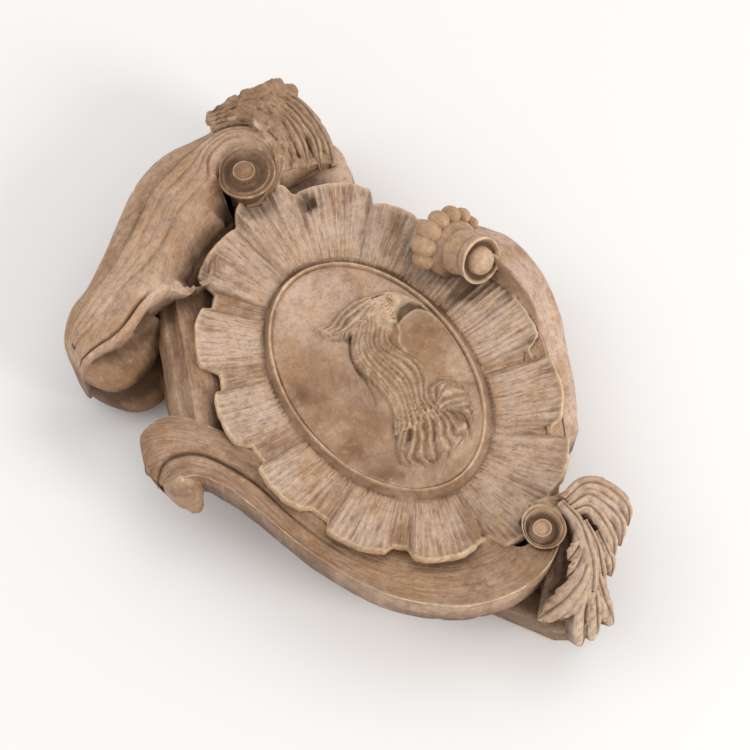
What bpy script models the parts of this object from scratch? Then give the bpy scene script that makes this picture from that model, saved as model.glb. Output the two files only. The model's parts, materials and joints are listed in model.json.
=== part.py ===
"""A rococo wall cartouche in one piece of carved stone: an oval medallion in a ruffled shell, with three scrolls."""
import math

import bmesh
import bpy
import numpy as np
from mathutils import Vector

# Driving dimensions, in metres.
CARTOUCHE_HEIGHT = 0.376
RELIEF_DEPTH = 0.088
SLAB_THICKNESS = 0.022
MEDALLION_WIDTH = 0.103
MEDALLION_HEIGHT = 0.152
MEDALLION_RISE = 0.052
RUFFLE_LIFT = 0.008
RUFFLE_EDGE = 0.006
RIM_WIDTH = 0.004
RIM_HEIGHT = 0.0035
BEAD_RADIUS = 0.005
BEADS = 7

# The carving is drawn on the wall plane as shares of the height: 376 units high, 88 units deep.
UNIT = CARTOUCHE_HEIGHT / 376
OUT_UNIT = RELIEF_DEPTH / 88

# Sections round the shell and along the scrolls.
SHELL_STEPS = 144
LEFT_STEPS = 34
LOWER_STEPS = 40
BAND_STEPS = 18
LEAF_STEPS = 14
DISC_STEPS = 24
FOOT_STEPS = 20
KNOB_STEPS = 16
# Samples between two points of a curve, before they are spaced evenly.
CURVE_SAMPLES = 24

# How far the ornaments' own backs stay inside the slab, each its own so that none are level.
FOOT_CLEAR = 5
BAND_CLEAR = 6
LEFT_CLEAR = 7
LOWER_CLEAR = 8
TOP_LEAF_CLEAR = 9
LOW_LEAF_CLEAR = 10

# Lobes of the ruffle: place round the medallion in degrees, half width in degrees, reach from the rim.
LOBES = (
    (68, 11, 53), (49, 7, 38), (27, 11, 37), (354, 12, 42), (325, 11.5, 41), (298.5, 10, 45), (278, 9.5, 46),
    (252.5, 10.5, 38.5), (225, 11, 37.5), (195, 10.5, 36), (165.5, 10.5, 37.5), (136, 11, 43), (108, 10, 51),
    (88.5, 8.5, 43),
)
# A fold between two lobes reaches this share of theirs and rises this share of their lift.
FOLD_SHARE = 0.79
FOLD_LIFT = 0.15
# How far, in degrees, a lobe's reach is felt in the folds beside it.
LOBE_BLEND = 14
# The medallion's field: share of the way from its middle, and rise. The ruffle's top: share of the reach, share of
# the lift, and how far it is sunk. The ruffle's underside: share of the reach, and drop in edge thicknesses.
FIELD_PROFILE = ((0.35, 1.6), (0.7, 0.8), (0.88, 0))
RUFFLE_TOP = ((0.06, 0, 3), (0.35, 0.25, 2), (0.75, 0.8, 0.5), (1, 1, 0))
RUFFLE_UNDERSIDE = ((1, 1), (0.72, 2))
RUFFLE_ROOT_SHARE = 0.35
RUFFLE_ROOT_SUNK = 6

# Outline of the slab behind everything, seen from the front.
SLAB = (
    (64, 168), (71, 154), (73, 145), (71, 134), (67, 122), (70, 110), (78, 96), (98, 50), (108, 8), (100, -36),
    (79, -80), (66, -85), (46, -108), (36, -140), (22, -168), (10, -172), (2, -158), (-10, -146), (-24, -128),
    (-46, -112), (-68, -84), (-84, -40), (-94, 0), (-106, 44), (-102, 66), (-90, 92), (-110, 104), (-60, 152),
    (-16, 168), (30, 168),
)
SLAB_BEVEL = 0.004

# The left scroll: its outer and inner edges, from the tip of its coil round to its free end.
LEFT_OUTER = (
    (-4, 121), (12, 120), (26, 130), (31, 145), (28, 163), (14, 175), (-6, 178), (-29, 179), (-52, 171),
    (-73, 155.5), (-92, 141), (-109, 130), (-123, 123.5), (-135, 112),
)
LEFT_INNER = (
    (-6, 127), (2, 124), (10, 131), (12, 141), (7, 150), (-4, 151), (-14, 140), (-14, 122), (-34, 117.5),
    (-50, 109.5), (-62, 96), (-82, 96.5), (-108, 88.5), (-135, 91),
)
FOOT_TOP = ((-84, 101), (-98, 96), (-116, 91), (-131, 92), (-134, 106), (-116, 112), (-98, 108))
FOOT_BASE = ((-84, 92), (-95, 77), (-108, 74), (-120, 80), (-131, 98), (-122, 106), (-100, 104))
LEFT_CREST = (66, 68, 72, 76, 78, 79, 80, 80, 80, 80, 79, 78, 76, 72.5)
LEFT_SECTION = (-12, -4, -1.4, -0.2, 0, -2.5)
# The scroll's back starts this share of the way in from its outer edge.
LEFT_UNDERCUT = 0.16
# The foot from the wall to the scroll: share of the way to its top outline, and height out from the wall.
FOOT_PROFILE = ((0, FOOT_CLEAR), (0.35, 28), (0.675, 50), (1, 68))

# The lower scroll: its bright arris outside, and the inner edge of its channel under the ruffle.
LOWER_OUTER = (
    (-131, 10), (-116, 3), (-105.5, -12), (-99, -32), (-89, -66), (-75, -98), (-60, -118), (-38, -136),
    (-12, -144.5), (8, -143), (23, -134), (29.5, -124), (25, -113), (13, -110), (2, -117),
)
LOWER_INNER = (
    (-134, 30), (-126, 43), (-104, 41), (-85, 8), (-77, -36), (-62, -70), (-45, -90), (-24, -104), (-4, -113),
    (3, -122), (10, -126), (14, -124), (14, -120), (10, -118), (5, -119),
)
LOWER_ARRIS = (54, 62, 62, 62, 62, 62, 62, 62, 64, 67, 70, 72, 73, 73, 71)
LOWER_INSIDE = (44, 55, 53, 47, 45, 44, 43, 45, 50, 57, 62, 66, 68, 69, 69)
LOWER_CHANNEL = 6
# Shares across the channel; the outer wall, up to the given share, stands free above the given height.
LOWER_SHARES = (0, 0.08, 0.3, 0.55, 0.8, 1)
LOWER_WALL_SHARE = 0.2
LOWER_WALL_FOOT = 24
# A channel narrower than this is hollowed less.
FULL_WIDTH = 30

# The right scroll: the band that runs down the side, and the roll that it ends in.
BAND_OUTER = ((92, 52), (102, 42), (111, 28), (114, 6), (109, -20), (100.5, -39), (91, -60), (79, -81))
BAND_INNER = ((84, 30), (87, 20), (91, 6), (92, -14), (87.5, -30), (81, -50), (74, -68), (66, -85))
BAND_OUTER_OUT = (60, 58, 55, 51, 47, 43, 38, 32)
BAND_INNER_OUT = (74, 74, 72, 65, 58, 51, 45, 38)
ROLL_START = (75.5, 42)
ROLL_START_OUT = 61
ROLL_END = (80, 18)
ROLL_END_OUT = 76
BAND_SHARES = (0, 0.5, 1)
BAND_CROWN = 2
BAND_UNDERCUT = 0.1
ROLL_PROFILE = ((-0.15, 15), (0.15, 17), (0.55, 12.5), (1, 13.5))
ROLL_EYE = 5.5
ROLL_EYE_RISE = 2.5
ROLL_EYE_TAPER = 0.9
BEAD_CIRCLE = 19
BEAD_FIRST = 170
BEAD_STEP = -26

# The two volute faces: centre, radius, and how far out from the wall.
LEFT_EYE = (0, 137)
LEFT_EYE_RADIUS = 13
LEFT_EYE_OUT = 84
LOWER_EYE = (16, -125.5)
LOWER_EYE_RADIUS = 11
LOWER_EYE_OUT = 75
# A volute's face from its foot to its eye: share of the radius, and drop below its highest arris.
DISC_PROFILE = ((1, 40), (1, 5), (0.9, 3), (0.5, 3.5), (0.46, 0), (0.2, -0.5))

# The leaves that hang over the scrolls' outer sides: edge at the scroll, free edge, and heights of both.
TOP_LEAF_ROOT = ((4, 176), (20, 170), (29, 158), (30, 144), (24, 131))
TOP_LEAF_EDGE = ((6, 187), (32, 187), (59, 184), (68, 163), (62, 137))
TOP_LEAF_ROOT_OUT = (76, 77, 77, 75, 70)
TOP_LEAF_EDGE_OUT = (64, 62, 56, 46, 40)
LOW_LEAF_ROOT = ((22, -111), (28, -117), (29.5, -125), (25, -134), (15, -141), (3, -145))
LOW_LEAF_EDGE = ((42, -110), (60, -111), (69, -134), (52, -160), (27, -186), (-6, -156))
LOW_LEAF_ROOT_OUT = (72, 71, 69, 67, 64, 58)
LOW_LEAF_EDGE_OUT = (58, 54, 42, 30, 16, 26)
# A leaf starts this share of its width inside the scroll's edge; its back ends this share of the way out.
LEAF_INWARD = 0.25
LEAF_BACK = 0.85
LEAF_SHARES = (0, 0.35, 0.7, 1)
LEAF_BULGE = 5
# The small curl: place, radius, then share of the radius, shift up the wall, and height out from the wall.
KNOB = (-123, 2)
KNOB_RADIUS = 9
KNOB_PROFILE = ((0.55, -3.5, 34), (0.9, -2, 40), (1, 0, 48), (0.9, 0.5, 55), (0.5, 1, 57))


def clear_scene():
    for item in list(bpy.data.objects):
        bpy.data.objects.remove(item, do_unlink=True)


def collection(name):
    made = bpy.data.collections.new(name)
    bpy.context.scene.collection.children.link(made)
    return made


def stone():
    material = bpy.data.materials.new("carved stone")
    material.use_nodes = True
    shader = material.node_tree.nodes["Principled BSDF"]
    shader.inputs["Base Color"].default_value = (0.52, 0.36, 0.25, 1)
    shader.inputs["Roughness"].default_value = 0.6
    shader.inputs["Metallic"].default_value = 0
    return material


def curve(points, count):
    """Evenly spaced samples of a smooth curve through the points, whatever numbers each point holds."""
    points = np.array([np.atleast_1d(point) for point in points], float)
    before = 2 * points[0] - points[1]
    after = 2 * points[-1] - points[-2]
    padded = np.vstack([before, points, after])
    fine = []
    for i in range(len(points) - 1):
        a, b, c, d = padded[i:i + 4]
        for t in np.linspace(0, 1, CURVE_SAMPLES, endpoint=False):
            cubic = (3 * b - a - 3 * c + d) * t**3
            fine.append(0.5 * (2 * b + (c - a) * t + (2 * a - 5 * b + 4 * c - d) * t**2 + cubic))
    fine.append(points[-1])
    fine = np.array(fine)
    stations = np.linspace(0, len(fine) - 1, count)
    return np.stack([np.interp(stations, range(len(fine)), column) for column in fine.T], axis=1)


def place(plan, out):
    """Points in space from places on the wall plane, in units, and heights out from the wall, in units."""
    plan = np.asarray(plan, float)
    out = np.broadcast_to(np.asarray(out, float), plan.shape[:-1])
    return np.stack([plan[..., 0] * UNIT, -out * OUT_UNIT, plan[..., 1] * UNIT], axis=-1)


def finished(name, work, home):
    bmesh.ops.recalc_face_normals(work, faces=work.faces)
    mesh = bpy.data.meshes.new(name)
    work.to_mesh(mesh)
    work.free()
    made = bpy.data.objects.new(name, mesh)
    home.objects.link(made)
    return made


def loft(name, rings, home):
    """A closed solid from rings of points, each ring closed, with a fan of faces over the first and the last."""
    work = bmesh.new()
    rows = [[work.verts.new(point) for point in ring] for ring in rings]
    count = len(rows[0])
    for lower, upper in zip(rows, rows[1:]):
        for i in range(count):
            j = (i + 1) % count
            work.faces.new((lower[i], lower[j], upper[j], upper[i]))
    for ring, points in ((rows[0], rings[0]), (rows[-1], rings[-1])):
        centre = work.verts.new(np.mean(points, axis=0))
        for i in range(count):
            work.faces.new((ring[i], ring[(i + 1) % count], centre))
    return finished(name, work, home)


def strip(name, front, back, home):
    """A closed solid between a front sheet and a back sheet of points, stitched along their edges."""
    front_edge = [np.concatenate([a, b[::-1]]) for a, b in zip(front, back)]
    work = bmesh.new()
    rows = [[work.verts.new(point) for point in ring] for ring in front_edge]
    count = len(rows[0])
    columns = len(front[0])
    for lower, upper in zip(rows, rows[1:]):
        for i in range(count):
            j = (i + 1) % count
            work.faces.new((lower[i], lower[j], upper[j], upper[i]))
    for ring in (rows[0], rows[-1]):
        for i in range(columns - 1):
            work.faces.new((ring[i], ring[i + 1], ring[count - 2 - i], ring[count - 1 - i]))
    return finished(name, work, home)


def across(outer, inner, shares):
    """A sheet of plan points between two edges, at the given shares of the way across."""
    shares = np.asarray(shares, float)[None, :, None]
    return outer[:, None, :] * (1 - shares) + inner[:, None, :] * shares


def slab(home):
    """The rough back slab, flat on the wall, with its front edge eased."""
    work = bmesh.new()
    bottom = [work.verts.new(point) for point in place(SLAB, 0)]
    face = work.faces.new(bottom)
    raised = bmesh.ops.extrude_face_region(work, geom=[face])
    for item in raised["geom"]:
        if isinstance(item, bmesh.types.BMVert):
            item.co.y = -SLAB_THICKNESS
    top = {item for item in raised["geom"] if isinstance(item, bmesh.types.BMEdge)}
    bmesh.ops.bevel(work, geom=list(top), offset=SLAB_BEVEL, segments=1, affect="EDGES")
    return finished("slab", work, home)


def lobe_shape(degrees):
    """At each angle round the medallion: how much of a lobe it is, from 0 in a fold to 1, and the lobes' reach."""
    centres = np.array([lobe[0] for lobe in LOBES], float)
    widths = np.array([lobe[1] for lobe in LOBES], float)
    reaches = np.array([lobe[2] for lobe in LOBES], float)
    gap = np.abs((degrees[:, None] - centres + 180) % 360 - 180)
    inside = np.clip(1 - (gap / widths) ** 4, 0, 1) ** 0.6
    weight = np.exp(-((gap / LOBE_BLEND) ** 2))
    reach = (weight * reaches).sum(axis=1) / weight.sum(axis=1)
    own = reaches[np.argmin(gap / widths, axis=1)]
    return inside.max(axis=1), np.where(inside.max(axis=1) > 0, own, reach), reach * FOLD_SHARE


def shell(home):
    """The medallion and the ruffle round it, with the ruffle's edge standing free of the slab."""
    degrees = np.linspace(0, 360, SHELL_STEPS, endpoint=False)
    angle = np.radians(degrees)
    half_x = MEDALLION_WIDTH / 2 / UNIT
    half_z = MEDALLION_HEIGHT / 2 / UNIT
    oval = np.stack([half_x * np.cos(angle), half_z * np.sin(angle)], axis=1)
    away = np.stack([half_z * np.cos(angle), half_x * np.sin(angle)], axis=1)
    away /= np.linalg.norm(away, axis=1)[:, None]
    lobe, lobe_reach, fold_reach = lobe_shape(degrees)
    reach = fold_reach + (lobe_reach - fold_reach) * lobe

    field = MEDALLION_RISE / OUT_UNIT
    rim = RIM_HEIGHT / OUT_UNIT
    rim_share = RIM_WIDTH / UNIT
    lift = RUFFLE_LIFT / OUT_UNIT * (FOLD_LIFT + (1 - FOLD_LIFT) * lobe)
    edge = RUFFLE_EDGE / OUT_UNIT
    rings = []
    for share, out in FIELD_PROFILE:
        rings.append(place(oval * share, field + out))
    rings.append(place(oval - away * rim_share, field + rim * 0.6))
    rings.append(place(oval - away * rim_share * 0.5, field + rim))
    rings.append(place(oval, field))
    for share, lifted, sunk in RUFFLE_TOP:
        rings.append(place(oval + away * (reach * share)[:, None], field - sunk + lift * lifted))
    for share, drop in RUFFLE_UNDERSIDE:
        rings.append(place(oval + away * (reach * share)[:, None], field + lift - edge * drop))
    root = SLAB_THICKNESS / OUT_UNIT - RUFFLE_ROOT_SUNK
    rings.append(place(oval + away * (reach * RUFFLE_ROOT_SHARE)[:, None], root))
    return loft("shell", rings, home)


def left_scroll(home):
    """The broad moulded scroll on the left, coiled at its top."""
    outer = curve(LEFT_OUTER, LEFT_STEPS)
    inner = curve(LEFT_INNER, LEFT_STEPS)
    crest = curve(LEFT_CREST, LEFT_STEPS)
    shares = np.linspace(0, 1, len(LEFT_SECTION))
    front = place(across(outer, inner, shares), crest + np.array(LEFT_SECTION))
    back_shares = LEFT_UNDERCUT + (1 - LEFT_UNDERCUT) * shares
    back = place(across(outer, inner, back_shares), LEFT_CLEAR)
    return strip("left scroll", front, back, home)


def left_foot(home):
    """The underside of the left scroll's free end, which runs back to the wall."""
    top = curve(FOOT_TOP + FOOT_TOP[:1], FOOT_STEPS + 1)[:-1]
    base = curve(FOOT_BASE + FOOT_BASE[:1], FOOT_STEPS + 1)[:-1]
    rings = [place(base + (top - base) * share, out) for share, out in FOOT_PROFILE]
    return loft("left foot", rings, home)


def lower_scroll(home):
    """The long channelled scroll underneath, rolled back on the left and coiled on the right."""
    outer = curve(LOWER_OUTER, LOWER_STEPS)
    inner = curve(LOWER_INNER, LOWER_STEPS)
    arris = curve(LOWER_ARRIS, LOWER_STEPS)
    inside = curve(LOWER_INSIDE, LOWER_STEPS)
    shares = np.array(LOWER_SHARES)
    width = np.linalg.norm(outer - inner, axis=1)[:, None]
    dip = LOWER_CHANNEL * np.sin(np.pi * shares) * np.clip(width / FULL_WIDTH, 0, 1)
    front = place(across(outer, inner, shares), arris * (1 - shares) + inside * shares - dip)
    back = place(across(outer, inner, shares), np.where(shares < LOWER_WALL_SHARE, LOWER_WALL_FOOT, LOWER_CLEAR))
    return strip("lower scroll", front, back, home)


def side_band(home):
    """The band down the right side, sloping away from its inner arris to a slanted end."""
    outer = curve(BAND_OUTER, BAND_STEPS)
    inner = curve(BAND_INNER, BAND_STEPS)
    low = curve(BAND_OUTER_OUT, BAND_STEPS)
    high = curve(BAND_INNER_OUT, BAND_STEPS)
    shares = np.array(BAND_SHARES)
    crown = BAND_CROWN * np.sin(np.pi * shares)
    front = place(across(outer, inner, shares), low * (1 - shares) + high * shares + crown)
    back = place(across(outer, inner, BAND_UNDERCUT + (1 - BAND_UNDERCUT) * shares), BAND_CLEAR)
    return strip("side band", front, back, home)


def leaf(name, root, edge, root_out, edge_out, clear, home):
    """A leaf hanging over a scroll's outer side, thick down to the slab."""
    root = curve(root, LEAF_STEPS)
    edge = curve(edge, LEAF_STEPS)
    root_out = curve(root_out, LEAF_STEPS)
    edge_out = curve(edge_out, LEAF_STEPS)
    inward = root + (root - edge) * LEAF_INWARD
    shares = np.array(LEAF_SHARES)
    bulge = LEAF_BULGE * np.sin(np.pi * shares)
    front = place(across(inward, edge, shares), root_out * (1 - shares) + edge_out * shares + bulge)
    back = place(across(inward, edge, shares * LEAF_BACK), clear)
    return strip(name, front, back, home)


def disc(name, centre, radius, out, home):
    """A volute's face with its eye standing up."""
    angle = np.linspace(0, 2 * math.pi, DISC_STEPS, endpoint=False)
    circle = np.stack([np.cos(angle), np.sin(angle)], axis=1)
    rings = [place(np.array(centre) + circle * radius * share, out - drop) for share, drop in DISC_PROFILE]
    return loft(name, rings, home)


def roll_axis():
    start = Vector(place(np.array(ROLL_START), ROLL_START_OUT))
    end = Vector(place(np.array(ROLL_END), ROLL_END_OUT))
    return start, end


def roll(home):
    """The drum at the top of the right scroll, waisted, with its eye at the lower end."""
    start, end = roll_axis()
    along = (end - start).normalized()
    side = along.orthogonal().normalized()
    other = along.cross(side)
    angle = np.linspace(0, 2 * math.pi, DISC_STEPS, endpoint=False)
    circle = [side * math.cos(a) + other * math.sin(a) for a in angle]
    places = [(start.lerp(end, share), radius) for share, radius in ROLL_PROFILE]
    places += [(end, ROLL_EYE), (end + along * ROLL_EYE_RISE * UNIT, ROLL_EYE * ROLL_EYE_TAPER)]
    rings = [[middle + spoke * radius * UNIT for spoke in circle] for middle, radius in places]
    return loft("roll", rings, home)


def beads(home):
    """The row of beads round the roll's upper end, each sunk by a third into it."""
    start, end = roll_axis()
    along = (end - start).normalized()
    side = Vector((1, 0, 0)) - along * along.x
    side.normalize()
    other = along.cross(side)
    made = []
    for i in range(BEADS):
        turn = math.radians(BEAD_FIRST + BEAD_STEP * i)
        spoke = side * math.cos(turn) + other * math.sin(turn)
        work = bmesh.new()
        bmesh.ops.create_uvsphere(work, u_segments=12, v_segments=8, radius=BEAD_RADIUS)
        bmesh.ops.translate(work, verts=work.verts, vec=start + spoke * BEAD_CIRCLE * UNIT)
        made.append(finished(f"bead {i + 1}", work, home))
    return made


def knob(home):
    """The small curl under the left end of the lower scroll's arris."""
    angle = np.linspace(0, 2 * math.pi, KNOB_STEPS, endpoint=False)
    circle = np.stack([np.cos(angle), np.sin(angle)], axis=1)
    centre = np.array(KNOB)
    rings = [place(centre + (0, shift) + circle * KNOB_RADIUS * share, out) for share, shift, out in KNOB_PROFILE]
    return loft("knob", rings, home)


def main():
    clear_scene()
    home = collection("rococo cartouche")
    joined = collection("pieces joined into the carving")
    body = slab(home)
    body.name = "cartouche"
    body.data.materials.append(stone())
    pieces = [shell(joined), left_scroll(joined), left_foot(joined), lower_scroll(joined), side_band(joined)]
    pieces.append(roll(joined))
    top = (TOP_LEAF_ROOT, TOP_LEAF_EDGE, TOP_LEAF_ROOT_OUT, TOP_LEAF_EDGE_OUT, TOP_LEAF_CLEAR)
    low = (LOW_LEAF_ROOT, LOW_LEAF_EDGE, LOW_LEAF_ROOT_OUT, LOW_LEAF_EDGE_OUT, LOW_LEAF_CLEAR)
    pieces.append(leaf("top leaf", *top, joined))
    pieces.append(leaf("low leaf", *low, joined))
    pieces.append(disc("left eye", LEFT_EYE, LEFT_EYE_RADIUS, LEFT_EYE_OUT, joined))
    pieces.append(disc("lower eye", LOWER_EYE, LOWER_EYE_RADIUS, LOWER_EYE_OUT, joined))
    pieces.append(knob(joined))
    pieces += beads(joined)
    for piece in pieces:
        piece.hide_render = True
        piece.display_type = "WIRE"
        union = body.modifiers.new(piece.name, "BOOLEAN")
        union.operation = "UNION"
        union.object = piece
        if piece.name == "low leaf":
            # The default solver loses the body at this one union.
            union.solver = "MANIFOLD"


if __name__ == "__main__":
    main()
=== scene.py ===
"""Carved rococo wall cartouche: one weathered block of stone, with its stage, light and camera."""

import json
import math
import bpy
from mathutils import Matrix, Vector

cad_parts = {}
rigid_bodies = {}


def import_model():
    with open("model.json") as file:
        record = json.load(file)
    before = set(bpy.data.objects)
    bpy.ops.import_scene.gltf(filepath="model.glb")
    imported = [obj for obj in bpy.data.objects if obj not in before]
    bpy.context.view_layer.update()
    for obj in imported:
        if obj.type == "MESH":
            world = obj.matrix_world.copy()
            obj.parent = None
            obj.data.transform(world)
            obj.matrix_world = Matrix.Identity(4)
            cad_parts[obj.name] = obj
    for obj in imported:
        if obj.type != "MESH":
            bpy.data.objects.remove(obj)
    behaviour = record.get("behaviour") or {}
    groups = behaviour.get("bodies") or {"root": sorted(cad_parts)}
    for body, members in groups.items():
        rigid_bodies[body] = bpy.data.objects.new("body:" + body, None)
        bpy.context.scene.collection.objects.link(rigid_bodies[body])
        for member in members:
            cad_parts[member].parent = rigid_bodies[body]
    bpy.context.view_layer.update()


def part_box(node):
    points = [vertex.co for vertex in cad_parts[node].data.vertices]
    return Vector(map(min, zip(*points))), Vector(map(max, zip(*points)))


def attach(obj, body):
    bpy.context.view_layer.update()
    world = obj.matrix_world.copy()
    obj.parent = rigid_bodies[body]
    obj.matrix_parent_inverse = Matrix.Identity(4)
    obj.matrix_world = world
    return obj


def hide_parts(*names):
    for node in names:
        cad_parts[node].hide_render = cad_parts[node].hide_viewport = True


bl_info = {
    "name": "Rococo Wall Cartouche",
    "version": (1, 0, 0),
    "blender": (4, 5, 0),
    "location": "View3D > Sidebar > Cartouche",
    "description": "Carves an oval medallion in a ruffle with three scrolls, out of one weathered stone",
    "category": "Add Mesh",
}

import bmesh
import bpy
import numpy as np
from mathutils import Matrix, Vector, kdtree

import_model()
LOW, HIGH = (np.array(corner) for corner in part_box("cartouche"))

# The carving is drawn on the wall plane in units of about a millimetre: (across, up, out from the wall).
HEIGHT_IN_UNITS = 372.3
DEPTH_IN_UNITS = 87.4
UNIT = (HIGH[2] - LOW[2]) / HEIGHT_IN_UNITS
OUT_UNIT = (HIGH[1] - LOW[1]) / DEPTH_IN_UNITS
# The collection that holds the blocks until they are joined.
BLOCKS = "blocks to join"
# Finishing marks on the points: violet bloom, tool lines, brown stain, grime in cuts together with painted
# shade in hollows and under overhangs, and rubbed arrises with a painted highlight on the ruffle's lip.
MARKS = ("patina", "comb", "stain", "soil", "rub")

# How finely each block is cut: points along it or round it.
RUFFLE_STEPS = 668
MEDALLION_STEPS = (128, 186)
LEFT_STEPS = 124
BED_STEPS = 50
FOOT_STEPS = 60
VOLUTE_STEPS = 84
LOWER_STEPS = 134
BAND_STEPS = 90
ROLL_STEPS = 60
LEAF_STEPS = 60
LEAFLET_STEPS = 34
KNOB_STEPS = 20

# Lobes of the ruffle: place round the medallion in degrees, half width in degrees, reach from the rim, and
# how much further than the others it rises at its edge.
LOBES = (
    (68, 11, 53, 0), (48.5, 8, 41, 3), (27, 13.5, 38.5, 6), (356.5, 14.5, 39.5, 1), (325, 11.5, 41, 0),
    (298.5, 10, 45, 0), (278, 9.5, 46, 0), (252.5, 10.5, 38.5, 0), (225, 11, 37.5, 0), (195, 10.5, 36, 0),
    (165.5, 10.5, 37.5, 0), (136, 11, 43, 0), (108, 10, 51, 0), (88.5, 8.5, 56, 9),
)
# A fold's reach as a share of its neighbours' reach, and the width of one flute at a lobe's edge.
FOLD_SHARE = 0.79
FLUTE = 3.9
# The ruffle's rough radius, which turns its angles into lengths for the tool lines.
RUFFLE_RADIUS = 85
# The ruffle's cut edge and underside: share of the reach, and how far it lies under the edge.
RUFFLE_UNDERSIDE = ((1.003, 1.0), (1.0, 2.6), (0.985, 4.0), (0.93, 5.6), (0.8, 9), (0.62, 16))
# The highest that the left scroll stands beside the ruffle: at the ruffle's edge, and the rise away from it.
EDGE_CAP = 46
CAP_RISE = 36
# The medallion overlaps the ruffle's inner oval: its centre, and how much larger it is each way.
FIELD_CENTRE = (-0.4, 3.2)
FIELD_GROW = (1.9, 2.9)
# The field inside the moulding, as a share of the medallion.
FIELD_SHARE = 1 - 6 / 62
# The medallion's moulding from the field outwards: inset from the rim, rise, darkening (painted shade in its
# groove and cove), and wear.
RIM_PROFILE = (
    (5.3, -0.4, 0, 0), (4.75, -0.5, 0.35, 0), (4.3, 0.1, 0.3, 0), (3.95, 1.1, 0, 0.5), (3.6, 1.9, 0, 1),
    (3.2, 2.1, 0, 1), (2.8, 1.7, 0, 0.8), (2.45, 1.0, 0, 0.3), (1.9, 0.0, 0.1, 0), (1.3, -1.0, 0.15, 0),
    (0.6, -1.8, 0.2, 0), (-0.2, -2.4, 0.2, 0), (-1.1, -2.8, 0.25, 0), (-2.0, -3.2, 0.25, 0),
    (-2.6, -3.9, 0.3, 0), (-2.6, -30, 0.3, 0),
)
# How far out from the wall the medallion's side ends, inside the stone.
MEDALLION_SUNK = 18

# The back slab's outline, and its sides: height out from the wall, and how far they are pulled in there.
SLAB = (
    (64, 168), (71, 154), (73, 145), (71, 134), (67, 122), (70, 110), (78, 96), (98, 50), (108, 8),
    (100, -36), (79, -80), (66, -85), (46, -108), (34, -140), (24, -160), (13, -170), (4, -164), (-8, -145),
    (-22, -123), (-43, -107), (-68, -84), (-84, -40), (-94, 0), (-106, 44), (-102, 66), (-90, 92),
    (-110, 104), (-60, 152), (-16, 168), (30, 168),
)
SLAB_SIDES = ((0, 0), (3, 0), (8, 0), (13, 0), (18, 0), (20.5, 0.008), (22, 0.028), (22.2, 0.06))
# The spacing of points along the slab's outline.
SLAB_SPACING = 3.5

# The smooth shoulder between the top leaf and the ruffle, and its sides.
SHOULDER = ((34, 152), (52, 154), (63, 149), (67, 139), (65, 128), (60, 117), (42, 108), (20, 112), (18, 135))
SHOULDER_SIDES = (
    (10, 0), (24, 0), (36, 0), (42, 0.03), (45.5, 0.09), (47, 0.18), (47.5, 0.4), (48, 0.8),
)

# The left scroll's outer and inner edges, from the tip of its coil round to its free end.
LEFT_OUTER = (
    (-2, 127), (12, 126), (24, 133), (31, 146), (28, 163), (14, 175), (-6, 178), (-29, 179), (-52, 171),
    (-73, 155.5), (-92, 141), (-109, 130), (-123, 123.5), (-135, 112),
)
LEFT_INNER = (
    (-6, 127), (2, 124), (10, 131), (12, 141), (7, 150), (-4, 151), (-14, 140), (-12, 114), (-29, 109),
    (-43, 102), (-60, 98), (-83, 98), (-108, 88.5), (-135, 91),
)
# Its height along its length, and its section from the outer edge to the inner one.
LEFT_CREST = (68, 71, 75, 78, 79.5, 80, 80, 80, 80, 80, 79, 78, 76, 72.5)
LEFT_SECTION = (-10, -4, -1.4, -0.2, 0.2, -1.2)
# Its grooves: share of the width, depth and width. Its reeds: where they start, their width and height.
LEFT_GROOVES = ((0.2, 0.95, 0.02), (0.31, 0.7, 0.014), (0.4, 0.6, 0.013), (0.52, 0.9, 0.02))
LEFT_REEDS = ((0.2, 0.11, 0.45), (0.31, 0.09, 0.4), (0.4, 0.12, 0.4), (0.52, 0.48, 1.6), (0, 0.2, -0.9))
# The line cut along its free end, as a share of the width.
END_LINE = 0.88
# Its sides: share of the way across, and level from the foot (0) to the edge of the front (1).
LEFT_WALL = ((0.0, 0.9), (0.02, 0.7), (0.05, 0.5), (0.1, 0.3), (0.16, 0.1), (0.5, 0))
LEFT_INSIDE = ((0.8, 0.15), (0.84, 0.5), (0.9, 0.8), (0.965, 0.93))
# How far out from the wall its foot lies, inside the slab.
LEFT_SUNK = 7
# The deep bed behind the ruffle, between the left scroll's end and the lower scroll.
BED_OUTER = ((-22, 140), (-50, 132), (-76, 118), (-86, 98), (-94, 78), (-102, 60), (-109, 42), (-113, 32))
BED_INNER = ((-4, 112), (-26, 106), (-44, 98), (-54, 82), (-61, 66), (-68, 48), (-76, 30), (-80, 20))
BED_OUT = (46, 47, 49, 50, 50, 49, 46, 43)
BED_SIDES = ((0.0, 34), (0.01, 22), (0.04, 10), (0.5, 10), (0.96, 10), (1.0, 34))
# The foot under the free end: its top and base outlines, then height, blend to the top, swell and darkening.
FOOT_TOP = ((-84, 101), (-98, 96), (-116, 91), (-131, 92), (-134, 106), (-116, 112), (-98, 108))
FOOT_BASE = ((-84, 92), (-95, 77), (-108, 74), (-120, 80), (-131, 98), (-122, 106), (-100, 104))
FOOT_PROFILE = (
    (5, 0, 0.95, 0), (8, 0.04, 1.04, 0), (13, 0.1, 1.1, 0), (18, 0.2, 1.08, 0), (22, 0.3, 0.98, 0.3),
    (25, 0.38, 0.9, 0.8), (27, 0.42, 0.92, 0.7), (31, 0.5, 1.04, 0.2), (38, 0.62, 1.12, 0),
    (46, 0.76, 1.12, 0), (53, 0.86, 1.06, 0.1), (58, 0.93, 0.97, 0.4), (61, 0.96, 0.9, 0.8),
    (63, 1, 0.92, 0.8), (67, 1, 0.9, 0.8),
)

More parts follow.
